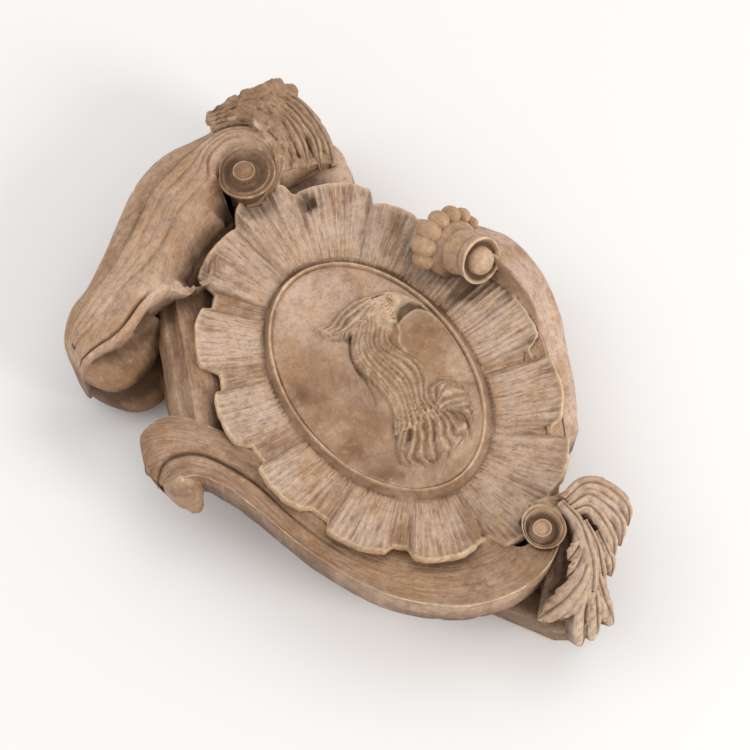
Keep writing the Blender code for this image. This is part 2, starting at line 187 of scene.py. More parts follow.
# The lower scroll: its bright arris outside, and the inner edge of its channel under the ruffle.
LOWER_OUTER = (
    (-131, 10), (-116, 3), (-105.5, -12), (-99, -32), (-89, -66), (-75, -98), (-60, -118), (-38, -136),
    (-12, -144.5), (8, -143), (23, -134), (29.5, -124), (26.5, -115), (19, -112), (12, -114),
)
LOWER_INNER = (
    (-134, 30), (-126, 43), (-104, 41), (-82, 10), (-73, -34), (-57, -67), (-40, -85), (-20, -98), (-3, -108),
    (3, -122), (10, -126), (14, -126), (17, -123), (17, -120), (14, -118),
)
# Heights of the arris and of the inner edge.
LOWER_ARRIS = (54, 62, 62, 62, 62, 62, 62, 62, 64, 67, 70, 72, 71, 69, 67)
LOWER_INSIDE = (44, 55, 53, 47, 45, 44, 43, 45, 50, 57, 62, 66, 68, 69, 69)
# Its outer wall: share of the way across, and drop below the arris.
LOWER_WALL = (
    (-0.004, 1.0), (0.0, 6), (0.002, 12), (0.004, 18), (0.01, 23), (0.03, 28), (0.12, 33), (0.25, 44),
)
# The knob under its left end: root, tip, and radius at shares of the way.
SCROLL_KNOB_ROOT = (-124.0, 13, 53)
SCROLL_KNOB_TIP = (-121.5, -8, 40)
SCROLL_KNOB = (
    (0, 7), (0.15, 9), (0.4, 9.6), (0.6, 8.8), (0.7, 7.4), (0.74, 6.2), (0.8, 5.6), (0.92, 4.2), (1, 1.5),
)

# The right scroll's band: outer and inner edges, their heights, its side and its foot.
BAND_OUTER = ((92, 52), (102, 42), (111, 28), (114, 6), (109, -20), (100.5, -39), (91, -60), (79, -81))
BAND_INNER = ((84, 30), (87, 20), (91, 6), (92, -14), (87.5, -30), (81, -50), (74, -68), (66, -85))
BAND_OUTER_OUT = (60, 58, 55, 51, 47, 43, 38, 32)
BAND_INNER_OUT = (74, 74, 72, 65, 58, 51, 45, 38)
BAND_WALL = ((0.0, 0.85), (0.02, 0.6), (0.05, 0.35), (0.1, 0.1), (0.5, 0))
BAND_SUNK = 6
# The channel inside the band: its width and the height of its floor.
CHANNEL_WIDTH = 17
CHANNEL_FLOOR = 50
# The roll that the band ends in: where its middle line starts and ends.
ROLL_START = (75.5, 42, 61)
ROLL_END = (80, 18, 76)
# The roll's radius at shares of its length, the grooves round it, and its end: radius, push, darkening and
# wear.
ROLL_WAIST = (
    (-0.2, 12), (-0.15, 15), (0, 16.8), (0.15, 17), (0.3, 15.2), (0.5, 12.8), (0.65, 12.2), (0.8, 12.6),
    (0.93, 13.6),
)
ROLL_GROOVES = (0.3, 0.38, 0.74)
ROLL_EYE = (
    (14.0, -0.6, 0, 0.6), (13.8, 0.2, 0, 0.9), (13.0, 0.6, 0, 0.9), (12.2, 0.2, 0, 0.3), (11.5, -0.8, 0.3, 0),
    (10.6, -1.8, 0.6, 0), (9.7, -2.3, 0.75, 0), (8.9, -2.3, 0.7, 0), (8.4, -1.6, 0.4, 0), (8.2, 0, 0.05, 0.1),
    (7.8, 1.6, 0, 0.4), (6.8, 3.1, 0, 0.35), (5.1, 4.4, 0, 0.3), (3, 5.2, 0, 0.25), (0.7, 5.5, 0, 0.2),
)
# The beads: radius of their circle, first place and step in degrees, and sizes from the lower left round.
BEAD_CIRCLE = 19
BEAD_START = 170
BEAD_STEP = 26
BEAD_SIZES = (1.15, 1.35, 1.3, 1.15, 1.05, 0.9, 0.8)

# Fresh pale chips: place and radius. The broken pit at the top of the ruffle: place and radius.
CHIPS = (
    (-44.3, -73.2, 59, 1.5), (-48.4, -79.1, 58, 1.8), (24, 159.8, 80, 3.2), (25, 150, 80, 2.6),
    (22.5, 141, 80, 2.4), (24.8, 155, 81, 2.2), (55.8, 178.9, 66, 2.4), (56.4, 167, 64, 1.8),
    (49.7, 133, 62, 2.2), (32.5, 130, 70, 2.6), (18.5, 185, 74, 2.0), (29.3, 120, 60, 2.2),
    (14, 172, 80, 2.2), (-60, -121, 58, 1.6), (60, -128, 52, 1.6),
)
PIT = (27.5, 114, 58, 5.5)
# How much longer the pit is each way than its radius.
PIT_STRETCH = (1, 1, 1.6)
# Points nearer to the wall than this, in metres, belong to the flat back.
BACK_DEPTH = 0.0008
# With fewer points than this, the blocks haven't joined.
FEWEST_POINTS = 1000

# Volute faces: the eye's place and height, its radius, and the arris round it as direction in degrees,
# distance from the eye, and height over the eye's foot.
LEFT_EYE = (0.6, 137.6, 80)
LEFT_EYE_RADIUS = 6.9
LEFT_ARRIS = (
    (146, 14.5, -1.6), (191, 16.2, -0.8), (236, 17.4, -0.2), (281, 18, 0.3), (326, 18.2, 0.7),
    (371, 18.2, 0.7), (416, 17.8, 0.2), (461, 16.2, -1.2), (506, 14.5, -1.6),
)
LOWER_EYE = (16, -125.5, 70.8)
LOWER_EYE_RADIUS = 5.3
LOWER_ARRIS_ROUND = (
    (-34, 13.2, 0.2), (11, 13.2, 0.4), (56, 14, 0.6), (101, 12.4, 0.2), (146, 10, -1.6), (191, 9, -3.6),
    (236, 9.6, -3.4), (281, 11.8, -1.2), (326, 13.2, 0.2),
)
# Rings of a volute: its stem (level, share of the arris), its face from the arris to the eye, and the eye
# itself (share of its radius, height, wear).
VOLUTE_STEM = ((-14, 0.7), (-7, 0.83), (-3.5, 0.93))
VOLUTE_FACE = (0, 0.03, 0.07, 0.11, 0.16, 0.22, 0.29, 0.34, 0.38, 0.42, 0.47, 0.56, 0.65, 0.74, 0.84, 0.93, 1)
EYE_PROFILE = (
    (1.0, 1.2, 0), (0.96, 2.2, 0.2), (0.87, 2.7, 0.35), (0.77, 2.3, 0.1), (0.7, 1.7, 0), (0.55, 1.6, 0),
    (0.3, 1.9, 0), (0.06, 2.0, 0),
)

# Knobs on the crest of the worn top leaf: place, radius.
TOP_KNOBS = (
    ((7, 183, 71), 5), ((13, 184, 72), 4.5), ((21, 185, 73), 5), ((30, 183, 73), 5), ((40, 182, 72), 5.5),
    ((48, 181, 71), 6), ((55, 176, 67), 5.5),
)
# Leaflets of the two leaves: middle line with heights, then widest half width and thickness.
TOP_LEAFLETS = (
    (((8, 184, 74), (18, 182, 76), (26, 174, 77), (31, 161, 76), (32, 146, 73), (31, 131, 66)), 4, 9),
    (((28, 182, 74), (38, 170, 76), (42, 155, 74), (41, 141, 70), (38, 129, 62)), 4.4, 9),
    (((39, 180, 73), (47, 168, 73), (50, 154, 69), (50, 140, 64), (45, 127, 56)), 4.4, 9),
    (((50, 179, 71), (56, 166, 68), (58, 152, 63), (57, 139, 58), (54, 128, 51)), 4.4, 9),
)
LOW_LEAFLETS = (
    (((36, -119, 70), (51, -117, 68), (61, -124, 62), (66, -136, 53), (63, -144, 44)), 5.2, 11),
    (((35, -123, 71), (48, -123, 69), (54, -131, 64), (57, -142, 56), (52, -151, 46)), 5.2, 11),
    (((35, -126, 71), (44, -128, 69), (47, -136, 65), (47, -148, 57), (42, -157, 46)), 4.8, 11),
    (((42, -140, 63), (41, -150, 58), (41, -156, 51), (38, -161, 44)), 4.2, 9),
    (
        ((33, -119, 72), (34, -132, 73), (31, -144, 72), (27, -155, 68), (20, -165, 60), (12, -174, 48)),
        4.6, 9,
    ),
    (((31, -138, 72), (27, -143, 71), (22, -145, 69), (18, -146, 66)), 3.8, 6),
    (((28, -146, 71), (22, -150, 69), (17, -152, 66), (13, -152, 62)), 3.8, 6),
    (((26, -152, 69), (17, -158, 66), (7, -160, 59), (-1, -159, 50), (-7, -157, 40)), 6.2, 9),
    (((23, -158, 66), (14, -163, 61), (6, -164, 53), (1, -164, 44)), 5.2, 9),
    (((19, -164, 60), (13, -170, 52), (9, -176, 40), (7, -180, 28)), 6.2, 9),
    (((22, -165, 60), (19, -172, 51), (16, -178, 40), (14, -181, 28)), 5.6, 9),
    (((28, -159, 61), (26, -168, 53), (26, -176, 43), (27, -181, 33)), 5.6, 9),
    (((37, -134, 72), (35, -147, 69), (32, -156, 62), (28, -166, 52), (25, -174, 42)), 4.0, 9),
)

# Stains on the medallion's field: place, radius and strength.
FIELD_STAINS = (
    (-21, -6, 17, 0.36), (-40, 17, 8, 0.4), (-34, -30, 9, 0.34), (44, 6, 12, 0.3), (-20, -44, 14, 0.34),
    (10, -71, 11, 0.3), (-44, -4, 6, 0.3), (12, 20, 60, 0.08),
)
# The bird's head on the field: guide lines of each bundle of strands, then the lines round its beak.
CREST = (
    ((22.5, 44.5), (15.5, 46), (9, 45.5), (2, 44), (-5, 42), (-11.5, 43), (-14, 46)),
    ((20.5, 37.5), (13, 35.5), (3.5, 34), (-5, 34.5), (-12, 38.5)),
    ((18.5, 33), (11, 30), (2.5, 29), (-5, 30.5), (-12.5, 36)),
)
NECK = (
    (
        (10, 35), (3, 29.5), (-2, 24.5), (-5.5, 18.5), (-7, 12), (-6, 3.5), (-4.5, -5.5), (-4, -13.5),
        (-6, -22), (-13, -33),
    ),
    (
        (17, 36), (12.5, 28), (7, 21.5), (5, 16), (5.5, 9), (6.5, 0.5), (7, -8), (5.5, -16),
        (3, -24), (0, -35),
    ),
    (
        (25, 31), (22, 22), (17.5, 17), (16, 12), (18.5, 4.5), (22, -2), (22.5, -9), (20, -15.5),
        (15.5, -24), (15, -38),
    ),
)
TUFTS = (
    ((16, -33), (20.5, -41), (23, -48), (21, -54), (17, -57)),
    ((13, -33), (13, -45), (11, -52), (7, -56.5), (2, -58.5)),
    ((8, -32), (1.5, -41), (-4, -47), (-7, -52.5), (-6, -57.5)),
    ((1, -32), (-8, -39), (-13, -43), (-16, -47.5), (-15.5, -52.5)),
    ((-6, -29), (-13, -36), (-17, -42), (-18.5, -47), (-19, -50)),
)
SIDE_TUFTS = (
    ((14.5, -33), (16.5, -25.5), (20.5, -20.5), (27, -19), (32.5, -23)),
    ((17, -31), (23.5, -27), (29, -26), (33, -29), (34, -34)),
    ((16, -36), (22, -34.5), (28.5, -36), (32, -40), (29, -48)),
    ((15.5, -37), (21, -38), (25.5, -42), (25.5, -48), (21, -55)),
)
BEAK = (
    ((20, 43.5), (27, 42.5), (32, 40.5), (36.5, 38), (39.5, 34), (43.5, 26.5)),
    ((20, 26), (26, 24), (30, 28), (35, 31), (39, 31), (43, 27)),
)
SKULL = (
    ((19, 42), (18, 36), (17, 31), (15, 27)),
    ((29, 40), (28.5, 34.5), (26.5, 27.5), (21, 19)),
)
MOUTH_TOP = ((43, 26.5), (40, 30), (35, 30.5), (31, 29), (28, 25.5), (26, 20.5))
MOUTH_LOW = ((26, 20), (30, 22.5), (36, 23.5), (41, 23), (44, 19.5), (45.5, 16), (46, 12))
THROAT = ((26, 20), (24.5, 16.5), (22, 13.5), (20.5, 10), (21, 4.5))
INCISED = ((0, 29.5), (-4, 23), (-6.5, 18), (-8, 10.5), (-8, 1.5), (-9, -6.5), (-11, -12.5))
LIP_WIDTH = 0.8
# How far a bundle's strands reach past its outer guides, and the width over which they fade into the field.
STRAND_REACH = 0.35
STRAND_FADE = 0.7

# The camera looks down on the carving as it lies on its back. Tilt, turn and lens angle are in degrees; the
# distance is in metres, and so is the point it looks at: to the view's right, up the view, out from the wall.
VIEW_TILT = 25
VIEW_TURN = 34
LENS_ANGLE = 25
VIEW_DISTANCE = 0.93
VIEW_CENTRE = (-0.00264, 0.001265, 0.052)
# Lamps: name, place to the view's right, up the view and out from the wall in metres, diameter, power.
LAMPS = (
    ("Key light", (2.0, -1.2, 1.9), 1.0, 25.0),
    ("Upper light", (1.2, 1.3, 2.4), 1.8, 10.0),
    ("Left fill", (-2.2, 0.2, 2.0), 1.8, 10.0),
)
LAMP_COLOUR = (1.0, 0.96, 0.91)
# The lamps point at a place this far out from the wall, in metres.
LAMP_AIM = 0.04
# The even light of the room.
ROOM_COLOUR = (1, 0.995, 0.99, 1)
ROOM_LIGHT = 0.76
# The backdrop: half its width, its gap behind the stone, and the longest ray that has just left the stone.
BACKDROP_HALF = 3
BACKDROP_GAP = 0.0015
NEAR_RAY = 0.003


def curve(points, count):
    """Evenly spaced samples of a smooth curve through the points, whatever numbers each point holds."""
    points = np.array([np.atleast_1d(point) for point in points], float)
    before = 2 * points[0] - points[1]
    after = 2 * points[-1] - points[-2]
    padded = np.vstack([before, points, after])
    fine = []
    for i in range(len(points) - 1):
        a, b, c, d = padded[i:i + 4]
        for t in np.linspace(0, 1, 24, endpoint=False):
            cubic = (3 * b - a - 3 * c + d) * t**3
            fine.append(0.5 * (2 * b + (c - a) * t + (2 * a - 5 * b + 4 * c - d) * t**2 + cubic))
    fine.append(points[-1])
    fine = np.array(fine)
    stations = np.linspace(0, len(fine) - 1, count)
    return np.stack([np.interp(stations, range(len(fine)), column) for column in fine.T], axis=1)


def ease(low, high, values):
    """Smooth step from 0 at low to 1 at high."""
    t = np.clip((values - low) / (high - low), 0, 1)
    return t * t * (3 - 2 * t)


def random_cell(cells, seed):
    """A repeatable random number from 0 to 1 for each whole-numbered cell."""
    mixed = cells[..., 0] * 73856093 ^ cells[..., 1] * 19349663 ^ cells[..., 2] * 83492791 ^ seed * 26544357
    mixed = (mixed ^ (mixed >> 13)) * 12741261
    return ((mixed ^ (mixed >> 15)) & 0xFFFF) / 0xFFFF


def lumps(points, size, seed=0):
    """Smooth noise from -1 to 1 with lumps of about the given size."""
    scaled = np.asarray(points, float) / size
    base = np.floor(scaled).astype(np.int64)
    part = scaled - base
    part = part * part * (3 - 2 * part)
    total = np.zeros(scaled.shape[:-1])
    for corner in range(8):
        step = np.array([corner & 1, corner >> 1 & 1, corner >> 2])
        weight = np.prod(np.where(step == 1, part, 1 - part), axis=-1)
        total += weight * random_cell(base + step, seed)
    return total * 2 - 1


def across(outer, inner, shares):
    """A sheet of points between two edges, at the given shares of the way across."""
    shares = np.asarray(shares, float)[None, :, None]
    return outer[:, None, :] * (1 - shares) + inner[:, None, :] * shares


def with_out(plan, out):
    """Plan points with their heights out from the wall as a third number."""
    plan = np.asarray(plan, float)
    out = np.broadcast_to(np.asarray(out, float), plan.shape[:-1])
    return np.concatenate([plan, out[..., None]], axis=-1)


def tree_of(points):
    """A search tree of points, for finding the nearest one."""
    tree = kdtree.KDTree(len(points))
    for i, point in enumerate(points):
        tree.insert(point, i)
    tree.balance()
    return tree


def space(points):
    """World places in metres from places in units: across, up, out."""
    return np.stack([points[..., 0] * UNIT, -points[..., 2] * OUT_UNIT, points[..., 1] * UNIT], axis=-1)


def write_mark(mesh, name, values):
    """Store one number, or a pair of numbers, on each point of a mesh."""
    values = np.ascontiguousarray(values, np.float32)
    if values.ndim == 2:
        layer = mesh.attributes.new(name, "FLOAT2", "POINT")
        layer.data.foreach_set("vector", values.ravel())
    else:
        layer = mesh.attributes.new(name, "FLOAT", "POINT")
        layer.data.foreach_set("value", values)


def block(name, points, faces, run=None, **marks):
    """A closed block of stone from points in units, with its finishing marks on its points."""
    home = bpy.data.collections.get(BLOCKS)
    if home is None:
        home = bpy.data.collections.new(BLOCKS)
        bpy.context.scene.collection.children.link(home)
    points = points.reshape(-1, 3)
    mesh = bpy.data.meshes.new(name)
    mesh.from_pydata(space(points).tolist(), [], faces)
    work = bmesh.new()
    work.from_mesh(mesh)
    bmesh.ops.recalc_face_normals(work, faces=work.faces)
    work.to_mesh(mesh)
    work.free()
    count = len(points)
    for mark in MARKS:
        write_mark(mesh, mark, np.broadcast_to(np.ravel(marks.get(mark, 0.0)), count))
    if run is None:
        run = np.zeros((count, 2))
    write_mark(mesh, "run", run)
    made = bpy.data.objects.new(name, mesh)
    home.objects.link(made)
    return made


def ring_faces(rows, count, closed):
    """Faces between neighbouring rings of points, and a cap on each open end."""
    faces = []
    for row in range(rows if closed else rows - 1):
        here = row * count
        there = (row + 1) % rows * count
        for i in range(count):
            j = (i + 1) % count
            faces.append((here + i, here + j, there + j, there + i))
    if not closed:
        faces.append(tuple(range(count)))
        faces.append(tuple(range((rows - 1) * count, rows * count)))
    return faces


def loft(name, rings, closed=False, run=None, **marks):
    """A closed block from rings of points in units."""
    rings = np.asarray(rings, float)
    faces = ring_faces(rings.shape[0], rings.shape[1], closed)
    return block(name, rings, faces, run, **marks)


def strip(name, front, back, **marks):
    """A closed block between a front sheet and a back sheet of points in units, with marks for the front."""
    rings = np.concatenate([front, back[:, ::-1]], axis=1)
    steps = np.linalg.norm(np.diff(front, axis=1), axis=2)
    side = np.concatenate([np.zeros((len(front), 1)), np.cumsum(steps, axis=1)], axis=1)
    side = np.concatenate([side, np.repeat(side[:, -1:], back.shape[1], axis=1)], axis=1)
    middle = front[:, front.shape[1] // 2]
    along = np.concatenate([[0], np.cumsum(np.linalg.norm(np.diff(middle, axis=0), axis=1))])
    along = np.repeat(along[:, None], rings.shape[1], axis=1)
    run = np.stack([side, along], axis=-1).reshape(-1, 2)
    half = back.shape[1] // 2
    spread = {}
    for mark, values in marks.items():
        sheet = np.broadcast_to(values, front.shape[:2])
        inner = np.repeat(sheet[:, -1:], back.shape[1] - half, axis=1)
        outer = np.repeat(sheet[:, :1], half, axis=1)
        spread[mark] = np.concatenate([sheet, inner, outer], axis=1)
    return loft(name, rings, run=run, **spread)


def side_line(outer, inner, share, top, level, foot):
    """A line on a scroll's side, at a share of the way across and a level between its foot and its top."""
    return with_out(across(outer, inner, [share]), top * level + foot * (1 - level))


def standing_block(name, outline, sides, **marks):
    """A block that stands on its outline, with its sides pulled in towards the middle at given heights."""
    middle = outline.mean(axis=0)
    rings = [with_out(outline + (middle - outline) * pull, out) for out, pull in sides]
    loft(name, rings, **marks)


def carve_slab():
    """The rough back slab, flat on the wall, and the smooth shoulder behind the ruffle's top."""
    corners = np.array(SLAB, float)
    outline = []
    for here, after in zip(corners, np.roll(corners, -1, axis=0)):
        steps = max(2, int(np.linalg.norm(after - here) / SLAB_SPACING))
        outline += [here + (after - here) * t for t in np.linspace(0, 1, steps, endpoint=False)]
    standing_block("slab", np.array(outline), SLAB_SIDES, stain=0.25)
    outline = curve(SHOULDER + SHOULDER[:1], 61)[:-1]
    standing_block("shoulder", outline, SHOULDER_SIDES, patina=0.5)


def ruffle_panels():
    """The ruffle's panels in order: start and end in degrees, reach, rise, and 1 for a lobe, 0 for a fold."""
    lobes = []
    for place, half, reach, rise in LOBES:
        start = (place - half) % 360
        lobes.append((start, start + 2 * half, reach, rise))
    lobes.sort()
    panels = []
    for i, (start, end, reach, rise) in enumerate(lobes):
        panels.append((start, end, reach, rise, 1))
        after, _, next_reach, next_rise = lobes[(i + 1) % len(lobes)]
        after += 360 if after < start else 0
        if after - end > 2:
            panels.append((end, after, FOLD_SHARE * (reach + next_reach) / 2, (rise + next_rise) / 2, 0))
    return panels


def medallion_oval(size, angle):
    """The medallion's oval at each angle, and the direction square to it and away from it."""
    half_x = size.medallion_width / UNIT / 2
    half_z = size.medallion_height / UNIT / 2
    oval = np.stack([half_x * np.cos(angle), half_z * np.sin(angle)], axis=1)
    away = np.stack([half_z * np.cos(angle), half_x * np.sin(angle)], axis=1)
    return oval, away / np.linalg.norm(away, axis=1)[:, None]


def above_ruffle(plan, size):
    """The highest that the stone behind the ruffle may stand at each plan point, dipping under its edge."""
    angle = np.linspace(0, 2 * math.pi, 720, endpoint=False)
    oval, away = medallion_oval(size, angle)
    reach = np.zeros(len(angle))
    for start, end, own, _rise, _is_lobe in ruffle_panels():
        reach[(np.degrees(angle) - start) % 360 <= end - start] = own
    edge = oval + away * reach[:, None]
    tree = tree_of(with_out(edge, 0))
    spots = plan.reshape(-1, 2)
    far = np.zeros(len(spots))
    for k, (x, z) in enumerate(spots):
        _, i, distance = tree.find((x, z, 0))
        outside = (spots[k] - edge[i]) @ away[i] > 0
        far[k] = distance if outside else -distance
    return (EDGE_CAP + CAP_RISE * ease(-3, 18, far)).reshape(plan.shape[:2])


def carve_ruffle(size):
    """The wavy ruffle round the medallion: fluted lobes in front, narrow folds behind, and a raised lip."""
    count = RUFFLE_STEPS
    degrees = np.linspace(0, 360, count, endpoint=False)
    angle = np.radians(degrees)
    oval, away = medallion_oval(size, angle)
    lobe = np.zeros(count)
    reach = np.zeros(count)
    share = np.zeros(count)
    phase = np.zeros(count)
    extra = np.zeros(count)
    for start, end, own, rise, is_lobe in ruffle_panels():
        offset = (degrees - start) % 360
        width = end - start
        here = offset <= width
        side = offset[here] / width * 2 - 1
        lobe[here] = is_lobe
        share[here] = side
        extra[here] = rise
        reach[here] = own * (1 - 0.07 * np.abs(side) ** 2.5) if is_lobe else own
        tips = (oval + away * own)[here]
        tips = tips[np.argsort(side)]
        length = np.linalg.norm(np.diff(tips, axis=0), axis=1).sum()
        phase[here] = (side + 1) / 2 * max(2, round(length / FLUTE))
    missed = (reach == 0)
    reach[missed] = np.interp(degrees[missed], degrees[~missed], reach[~missed])
    soften = np.array([1, 3, 4, 3, 1], float) / 12

    def blur(values, times):
        for _ in range(times):
            padded = np.concatenate([values[-2:], values, values[:2]])
            values = np.convolve(padded, soften, "valid")
        return values

    # Soften the steps between panels, and make the edge a little uneven.
    reach = blur(reach, 1)
    forward = blur(lobe, 2)
    extra = blur(extra, 10)
    around = with_out(oval * 1.4, 0)
    wobble = lumps(around, 9, 3) * 0.8 + lumps(around, 3, 4) * 0.35
    reach = reach + wobble
    field = size.medallion_rise / OUT_UNIT
    lift = size.ruffle_lift / OUT_UNIT

    within = phase - np.floor(phase)
    hollow = np.sin(np.pi * np.clip(within, 0, 1)) ** 1.1
    one_each = np.stack([np.floor(phase) * 3.1 + reach, degrees * 0, degrees * 0], axis=1)
    variety = 0.75 + 0.35 * lumps(one_each, 1, 9)
    rows = []
    marks = []
    near_edge = [0.9, 0.93, 0.955, 0.975, 0.99, 1.0]
    shares = np.concatenate([[-0.09, -0.03], np.linspace(0.02, 0.86, 14), near_edge])
    crease = np.exp(-((1 - np.abs(share)) / 0.05) ** 2)
    # The front: flutes that deepen outwards, creases between the panels, and a rolled lip.
    for t in shares:
        u = max(t, 0)
        from_edge = (1 - t) * reach
        out = field - 3.2 + 1.2 * u + lift * (0.1 + 0.9 * forward) * u**1.15 + extra * u**1.5
        out = out - 0.9 * (1 - share**2) * forward * u
        out = out - 1.1 * (1 - forward) * u
        end = ease(1.6, 4.2 - 1.4 * hollow, from_edge)
        depth = (0.45 + 1.45 * u) * variety * end * (0.6 + 0.4 * forward)
        out = out - depth * hollow
        edge_band = np.exp(-(((from_edge - 0.7) / 1.5) ** 2)) * ease(0.5, 0.8, u)
        out = out + 0.75 * np.exp(-((from_edge - 1.5) / 1.1) ** 2) * ease(0.5, 0.8, u)
        out = out - crease * (0.3 + 1.1 * u) * ease(0.2, 1.5, from_edge)
        out = out - 1.3 * ease(1.0, 0.0, from_edge)
        rows.append(with_out(oval + away * (reach * t)[:, None], out))
        cut = np.clip(depth * hollow / 1.5, 0, 1)
        top = np.clip(1 - hollow * 1.6, 0, 1) * end * np.clip(u * 2, 0, 1)
        # Marks: bloom on the lobes, tool lines, stain on the folds, darkening of flutes and creases as grime
        # and painted shade, and rub on the flute tops and the lip, where it is also a painted highlight.
        marks.append((
            forward * ease(0.06, 0.3, u) * ease(1.2, 3.0, from_edge) * (0.75 + 0.25 * top),
            ease(1.0, 2.5, from_edge),
            0.3 * (1 - forward) * ease(1, 4, from_edge) + 0.5 * (1 - ease(0.02, 0.14, t)) + 0 * from_edge,
            0.42 * np.clip(cut, 0, 1) ** 2 + 0.7 * crease * ease(0.2, 2.5, from_edge) * min(u * 3, 1),
            0.4 * top * forward + 1.2 * edge_band,
        ))
    # The cut edge and the underside, then the root sunk in the medallion.
    edge_out = rows[-1][:, 2]
    thick = size.ruffle_edge / OUT_UNIT
    for t, drop in RUFFLE_UNDERSIDE:
        down = drop * thick / 6
        rows.append(with_out(oval + away * (reach * t)[:, None], np.minimum(edge_out - down, field)))
        # Painted highlight on the cut edge's outer rows, besides their cream wear, and painted shade growing
        # towards the underside.
        lit = (drop < 3) * (0.7 + 0.5 * lumps(around, 6, 45))
        marks.append((0, 0.3, 0.35, min(drop / 16, 0.6), lit))
    rows.append(with_out(oval + away * (reach * 0.45)[:, None], 26))
    rows.append(with_out(oval + away * (reach * 0.35)[:, None], 15))
    rows.append(with_out(oval - away * 6, 15))
    rows.append(with_out(oval - away * 6, 40))
    # The root is painted dark as shade.
    marks += [(0, 0, 0, 0.7, 0)] * 4
    rows = np.array(rows)
    marks = np.array([[np.broadcast_to(one, count) for one in row] for row in marks])
    run_across = angle[None, :] * RUFFLE_RADIUS + np.zeros((len(rows), 1))
    run_along = np.linalg.norm(rows[:, :, :2] - oval[None], axis=2)
    run = np.stack([run_across, run_along], axis=-1)
    rings = rows.transpose(1, 0, 2)
    run = run.transpose(1, 0, 2).reshape(-1, 2)
    marks = {mark: marks[:, k].T.ravel() for k, mark in enumerate(MARKS)}
    loft("ruffle", rings, closed=True, run=run, **marks)


def bundle(spots, guides, strands, body, cut):
    """Height and groove darkening of a bundle of strands: a rounded body, cut by grooves that follow its
    guides.
    """
    along = 90
    wide = max(10, strands * 9)
    lines = np.array([curve(guide, along) for guide in guides])
    sheet = curve(lines.reshape(len(guides), -1), wide).reshape(wide, along, 2)
    flat = sheet.reshape(-1, 2)
    soil = np.zeros(len(spots))
    tree = tree_of(with_out(flat, 0))
    w, s = np.meshgrid(np.linspace(0, 1, wide), np.linspace(0, 1, along), indexing="ij")
    marks = np.stack([w * strands * 0.6, s * 2.6, s * 0 + strands], axis=-1)
    lock = w * strands + 0.55 * lumps(marks, 1, 41) + 0.25 * lumps(marks, 0.45, 42)
    lock = np.where(strands > 2, lock, w * strands)
    tops = 0.5 * lumps(np.stack([np.floor(lock) * 1.7, s * 3, s * 0], axis=-1), 1, 43)
    trench = (1 - np.abs(np.sin(np.pi * lock)) ** 0.6) * (strands > 2)
    groove = cut * trench * (0.75 + 0.4 * lumps(marks * 1.3, 1, 44))
    trench = trench.ravel()
    fine = 0.3 * cut * np.cos(2 * np.pi * lock * 2)
    tall = np.interp(s, (0, 0.5, 1), body) * (1 - 0.3 * np.abs(2 * w - 1) ** 3)
    shape = (tall + tops * cut * 0.7 - groove + fine * (strands > 2)).ravel()
    low = flat.min(axis=0) - 2
    high = flat.max(axis=0) + 2
    height = np.zeros(len(spots))
    for i in np.nonzero(((spots > low) & (spots < high)).all(axis=1))[0]:
        _, index, far = tree.find((spots[i][0], spots[i][1], 0))
        if far < STRAND_REACH + 0.8:
            height[i] = shape[index] * (1 - ease(STRAND_REACH, STRAND_REACH + STRAND_FADE, far))
            soil[i] = trench[index]
    return height, soil


def near_line(spots, line, width):
    """A soft mark, 1 on the line and falling to 0 at about its width."""
    points = curve(line, 80)
    far = np.full(len(spots), 99.0)
    for point in points:
        far = np.minimum(far, np.linalg.norm(spots - point, axis=1))
    return np.exp(-((far / width) ** 2))


def head_relief(spots, relief):
    """The bird's head in low relief over the medallion's field: its height, darkening in its cuts and mouth,
    and wear.
    """
    height = np.zeros(len(spots))
    soil = np.zeros(len(spots))
    for guides, strands, body, cut in (
        (SIDE_TUFTS, 6, (2.2, 2.0, 1.0), 1.3),
        (TUFTS, 8, (2.4, 2.8, 1.6), 1.8),
        (NECK, 9, (3.7, 3.2, 2.4), 1.5),
        (SKULL, 1, (3.7, 3.9, 3.4), 0.3),
        (CREST, 6, (4.4, 3.7, 1.6), 1.7),
        (BEAK, 1, (3.9, 3.7, 2.8), 0.2),
    ):
        own, trench = bundle(spots, guides, strands, body, cut)
        over = own > height
        height = np.where(over, own, height)
        soil = np.where(over, trench, soil)
    mouth, _ = bundle(spots, (MOUTH_TOP[::-1], MOUTH_LOW[:5]), 1, (1, 1, 1), 0)
    height = height * (1 - 0.95 * np.clip(mouth, 0, 1)) - 1.0 * np.clip(mouth, 0, 1)
    upper_lip = near_line(spots, MOUTH_TOP, LIP_WIDTH)
    lower_lip = near_line(spots, MOUTH_LOW, LIP_WIDTH)
    throat = near_line(spots, THROAT, LIP_WIDTH)
    incised = near_line(spots, INCISED, LIP_WIDTH)
    height += 1.1 * upper_lip
    height += 1.5 * lower_lip
    height += 0.9 * throat
    height -= 0.8 * incised
    height -= 0.7 * near_line(spots, ((22, 38), (25, 36.5), (27, 33.5)), 0.7)
    height += 0.5 * near_line(spots, ((21.5, 40), (24.5, 38.5), (27.5, 36)), 0.8)
    height -= 1.6 * near_line(spots, ((-5, -37.5), (-7.5, -39.5)), 2.0)
    lips = upper_lip + lower_lip + throat
    soil += 0.7 * incised + 0.8 * np.clip(mouth, 0, 1)
    rub = ease(0.8, 2.2, height) * (1 - np.clip(soil * 2, 0, 1)) * 0.55 + 0.6 * lips
    return height * relief, np.clip(soil, 0, 1), rub


